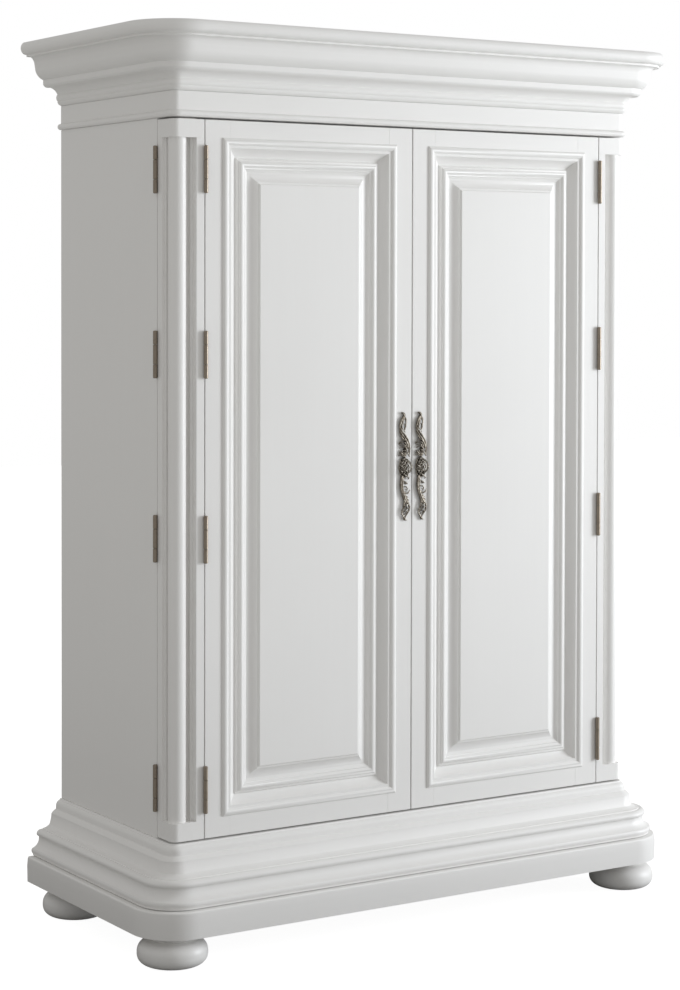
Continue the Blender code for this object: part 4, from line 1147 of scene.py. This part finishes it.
# %% [markdown]
# ## Inside the case
# Behind the doors there is a zinc-plated rail for hangers, and a double magnet catch under the
# top. The rail is a tube, and its ends go into cups that are screwed to the sides.

# %% Clothes rail and its cups
RAIL_WALL = 1.2 * MM
# outline of a cup, as millimetres out from the rail and off the side
CUP = ((0.3, 9.0), (1.9, 9.0), (2.2, 2.4), (9.0, 2.0), (9.4, 0.2), (0.3, 0.2))
CUP_SCREWS = 5.8 * MM  # outside the rail
low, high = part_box("clothes_rail")
rail_radius = (high.z - low.z) / 2
reach = (high.x - low.x) / 2
inner_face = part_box("side_right")[0].x
bm = bmesh.new()
tube = [(rail_radius, reach), (rail_radius, -reach), (rail_radius - RAIL_WALL, -reach),
        (rail_radius - RAIL_WALL, reach)]
turned(bm, tube, 48, Matrix())
for end in (-1, 1):
    cup = [(rail_radius + out * MM, end * (inner_face - off * MM)) for out, off in CUP]
    turned(bm, cup, 48, Matrix())
    for spoke in range(3):
        angle = 2 * math.pi * spoke / 3
        away = rail_radius + CUP_SCREWS
        spot = Vector((away * math.cos(angle), away * math.sin(angle), end * (inner_face - 2.3 * MM)))
        facing = Matrix.Rotation(math.pi if end > 0 else 0.0, 4, "X")
        slotted_screw(bm, Matrix.Translation(spot) @ facing, 2 * MM)
bm.transform(Matrix.Translation((low + high) / 2) @ Matrix.Rotation(math.pi / 2, 4, "Y"))
add_piece(bm, "clothes_rail_tube", "case", ZINC_STEEL, ["clothes_rail"])

# %% Magnet catch and strike plates
# discs with a chamfered face, as (radius, height) in millimetres
MAGNET = ((0.0, 0.4), (4.6, 0.4), (5.0, 0.0), (5.0, -1.5), (0.0, -1.5))
STRIKE = ((0.0, 0.35), (7.0, 0.35), (7.5, 0.0), (7.5, -1.0), (0.0, -1.0))
low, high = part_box("door_catch")
bm = bmesh.new()
plank(bm, low, high, (1, 0, 0))
add_piece(bm, "door_catch_body", "case", ZINC_STEEL, ["door_catch"], eased=1 * MM)
for word, side in (("left", -1), ("right", 1)):
    x, z = side * (high.x - low.x) / 4, (low.z + high.z) / 2
    door_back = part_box(word + "_door_frame")[1].y
    for suffix, body, finish, outline, y, quarter in (
        ("_magnet", "case", MAGNET_STEEL, MAGNET, low.y, 1),
        ("_strike_plate", word + "_door", ZINC_STEEL, STRIKE, door_back, -1),
    ):
        facing = Matrix.Translation((x, y, z)) @ Matrix.Rotation(quarter * math.pi / 2, 4, "X")
        bm = bmesh.new()
        turned(bm, [(radius * MM, height * MM) for radius, height in outline], 32, facing)
        add_piece(bm, word + suffix, body, finish)

# %% [markdown]
# ## The floor
# A plain pale floor catches a soft shadow under the plinth. It isn't part of the armoire. Seen
# directly, the paper is lifted to white; as a source of bounced light it stays duller. Close to the
# feet its colour is darkened further: painted shade that stands in for the shadow of the case on
# the floor, so that the floor doesn't light the mouldings from below.

# %% Floor
FLOOR_REACH = 12  # metres to each side
PAPER_LIFT = 0.95
# between these distances from the middle, the painted shade on the floor fades from dark near the feet to
# light
FLOOR_SHADE_NEAR, FLOOR_SHADE_FAR = 0.9, 2.6  # metres from the middle, between which the paper gets lighter
floor_mesh = bpy.data.meshes.new("studio_floor")
corners = [(x * FLOOR_REACH, y * FLOOR_REACH, 0) for x, y in ((-1, -1), (1, -1), (1, 1), (-1, 1))]
floor_mesh.from_pydata(corners, [], [(0, 1, 2, 3)])
floor = bpy.data.objects.new("studio_floor", floor_mesh)
bpy.context.scene.collection.objects.link(floor)
STUDIO_PAPER, paper = new_material("white_studio_paper", "a3a29f", 0.9)
paper.inputs["Emission Color"].default_value = linear("ffffff")
seen_by_camera = add_node(STUDIO_PAPER, "LightPath").outputs["Is Camera Ray"]
where = add_node(STUDIO_PAPER, "TexCoord").outputs["Object"]
reach = add_node(STUDIO_PAPER, "VectorMath", {0: where}, operation="LENGTH").outputs["Value"]
# painted shade: the floor's colour darkens towards the feet, where the case's shadow falls
shade_fade = add_node(STUDIO_PAPER, "MapRange", {"Value": reach, "From Min": FLOOR_SHADE_NEAR, "From Max": FLOOR_SHADE_FAR})
painted_floor_shade = add_node(STUDIO_PAPER, "ValToRGB", {"Fac": shade_fade.outputs["Result"]})
painted_floor_shade.color_ramp.elements[0].color = linear("8e8d8b")
painted_floor_shade.color_ramp.elements[1].color = linear("efefed")
join(STUDIO_PAPER, painted_floor_shade.outputs["Color"], paper.inputs["Base Color"])
lift = add_node(STUDIO_PAPER, "Math", {0: seen_by_camera, 1: PAPER_LIFT}, operation="MULTIPLY")
join(STUDIO_PAPER, lift.outputs[0], paper.inputs["Emission Strength"])
fibres = add_node(STUDIO_PAPER, "TexNoise", {"Scale": 400.0})
paper_bump = add_node(STUDIO_PAPER, "Bump", {"Height": fibres.outputs["Fac"], "Strength": 0.05})
join(STUDIO_PAPER, paper_bump.outputs["Normal"], paper.inputs["Normal"])
floor_mesh.materials.append(STUDIO_PAPER)

# %% [markdown]
# ## Light
# A white piece on white needs light from one side, or it goes flat. One large soft box stands far
# to the right and low, so that it rakes across the mouldings, and the even light of a white room
# fills the rest. The world shows plain white behind the piece, but lights it less strongly.

# %% Room light and soft box
ROOM_LIGHT = 0.48
KEY_WATTS = 250
world = bpy.data.worlds.new("white_studio")
bpy.context.scene.world = world
world.use_nodes = True
sky_nodes = world.node_tree
sky_nodes.nodes["Background"].inputs["Color"].default_value = linear("fffefc")
sky_nodes.nodes["Background"].inputs["Strength"].default_value = ROOM_LIGHT
seen = add_node(world, "Background", {"Color": linear("ffffff"), "Strength": 1.0})
rays = add_node(world, "LightPath")
blend_seen = add_node(world, "MixShader", {
    0: rays.outputs["Is Camera Ray"], 1: sky_nodes.nodes["Background"].outputs[0], 2: seen.outputs[0]})
join(world, blend_seen.outputs[0], sky_nodes.nodes["World Output"].inputs["Surface"])


def soft_box(name, spot, target, size, power):
    """A rectangular light of that size at spot, turned to face target."""
    light = bpy.data.lights.new(name, "AREA")
    light.shape = "RECTANGLE"
    light.size, light.size_y = size
    light.energy = power
    light.color = linear("f6faff")[:3]
    lamp = bpy.data.objects.new(name, light)
    lamp.location = spot
    lamp.rotation_euler = (Vector(target) - Vector(spot)).to_track_quat("-Z", "Y").to_euler()
    bpy.context.scene.collection.objects.link(lamp)
    return lamp


key = soft_box("key_soft_box", (5.2, -3.2, 1.6), (0.0, -0.1, 1.0), (1.9, 3.0), KEY_WATTS)
print("key light", round((key.location - Vector((0, FRONT, 1))).length, 2), "m from the doors")

# %% [markdown]
# ## Camera
# A long lens from the left front, at about chest height, sees the left side and the two doors.
# The lens is shifted a little instead of tilted, which keeps the uprights nearly parallel.

# %% Camera
SENSOR, LENS = 36.0, 84.5273  # millimetres; the sensor is measured along its long side
SHIFT_RIGHT, SHIFT_UP = 0.016869, -0.157576  # as shares of the sensor's long side
CAMERA_SPOT = (-2.8997, -4.4083, 1.39896)
TILT, ROLL, TURN = -1.281, -0.112, -32.444  # degrees; with no turn it would face the doors squarely
camera_data = bpy.data.cameras.new("camera")
camera_data.sensor_width = SENSOR
camera_data.lens = LENS
camera_data.shift_x = SHIFT_RIGHT
camera_data.shift_y = SHIFT_UP
camera = bpy.data.objects.new("camera", camera_data)
camera.location = CAMERA_SPOT
camera.rotation_euler = [math.radians(angle) for angle in (90 + TILT, ROLL, TURN)]
bpy.context.scene.collection.objects.link(camera)
bpy.context.scene.camera = camera
bpy.context.scene.view_settings.view_transform = "Standard"
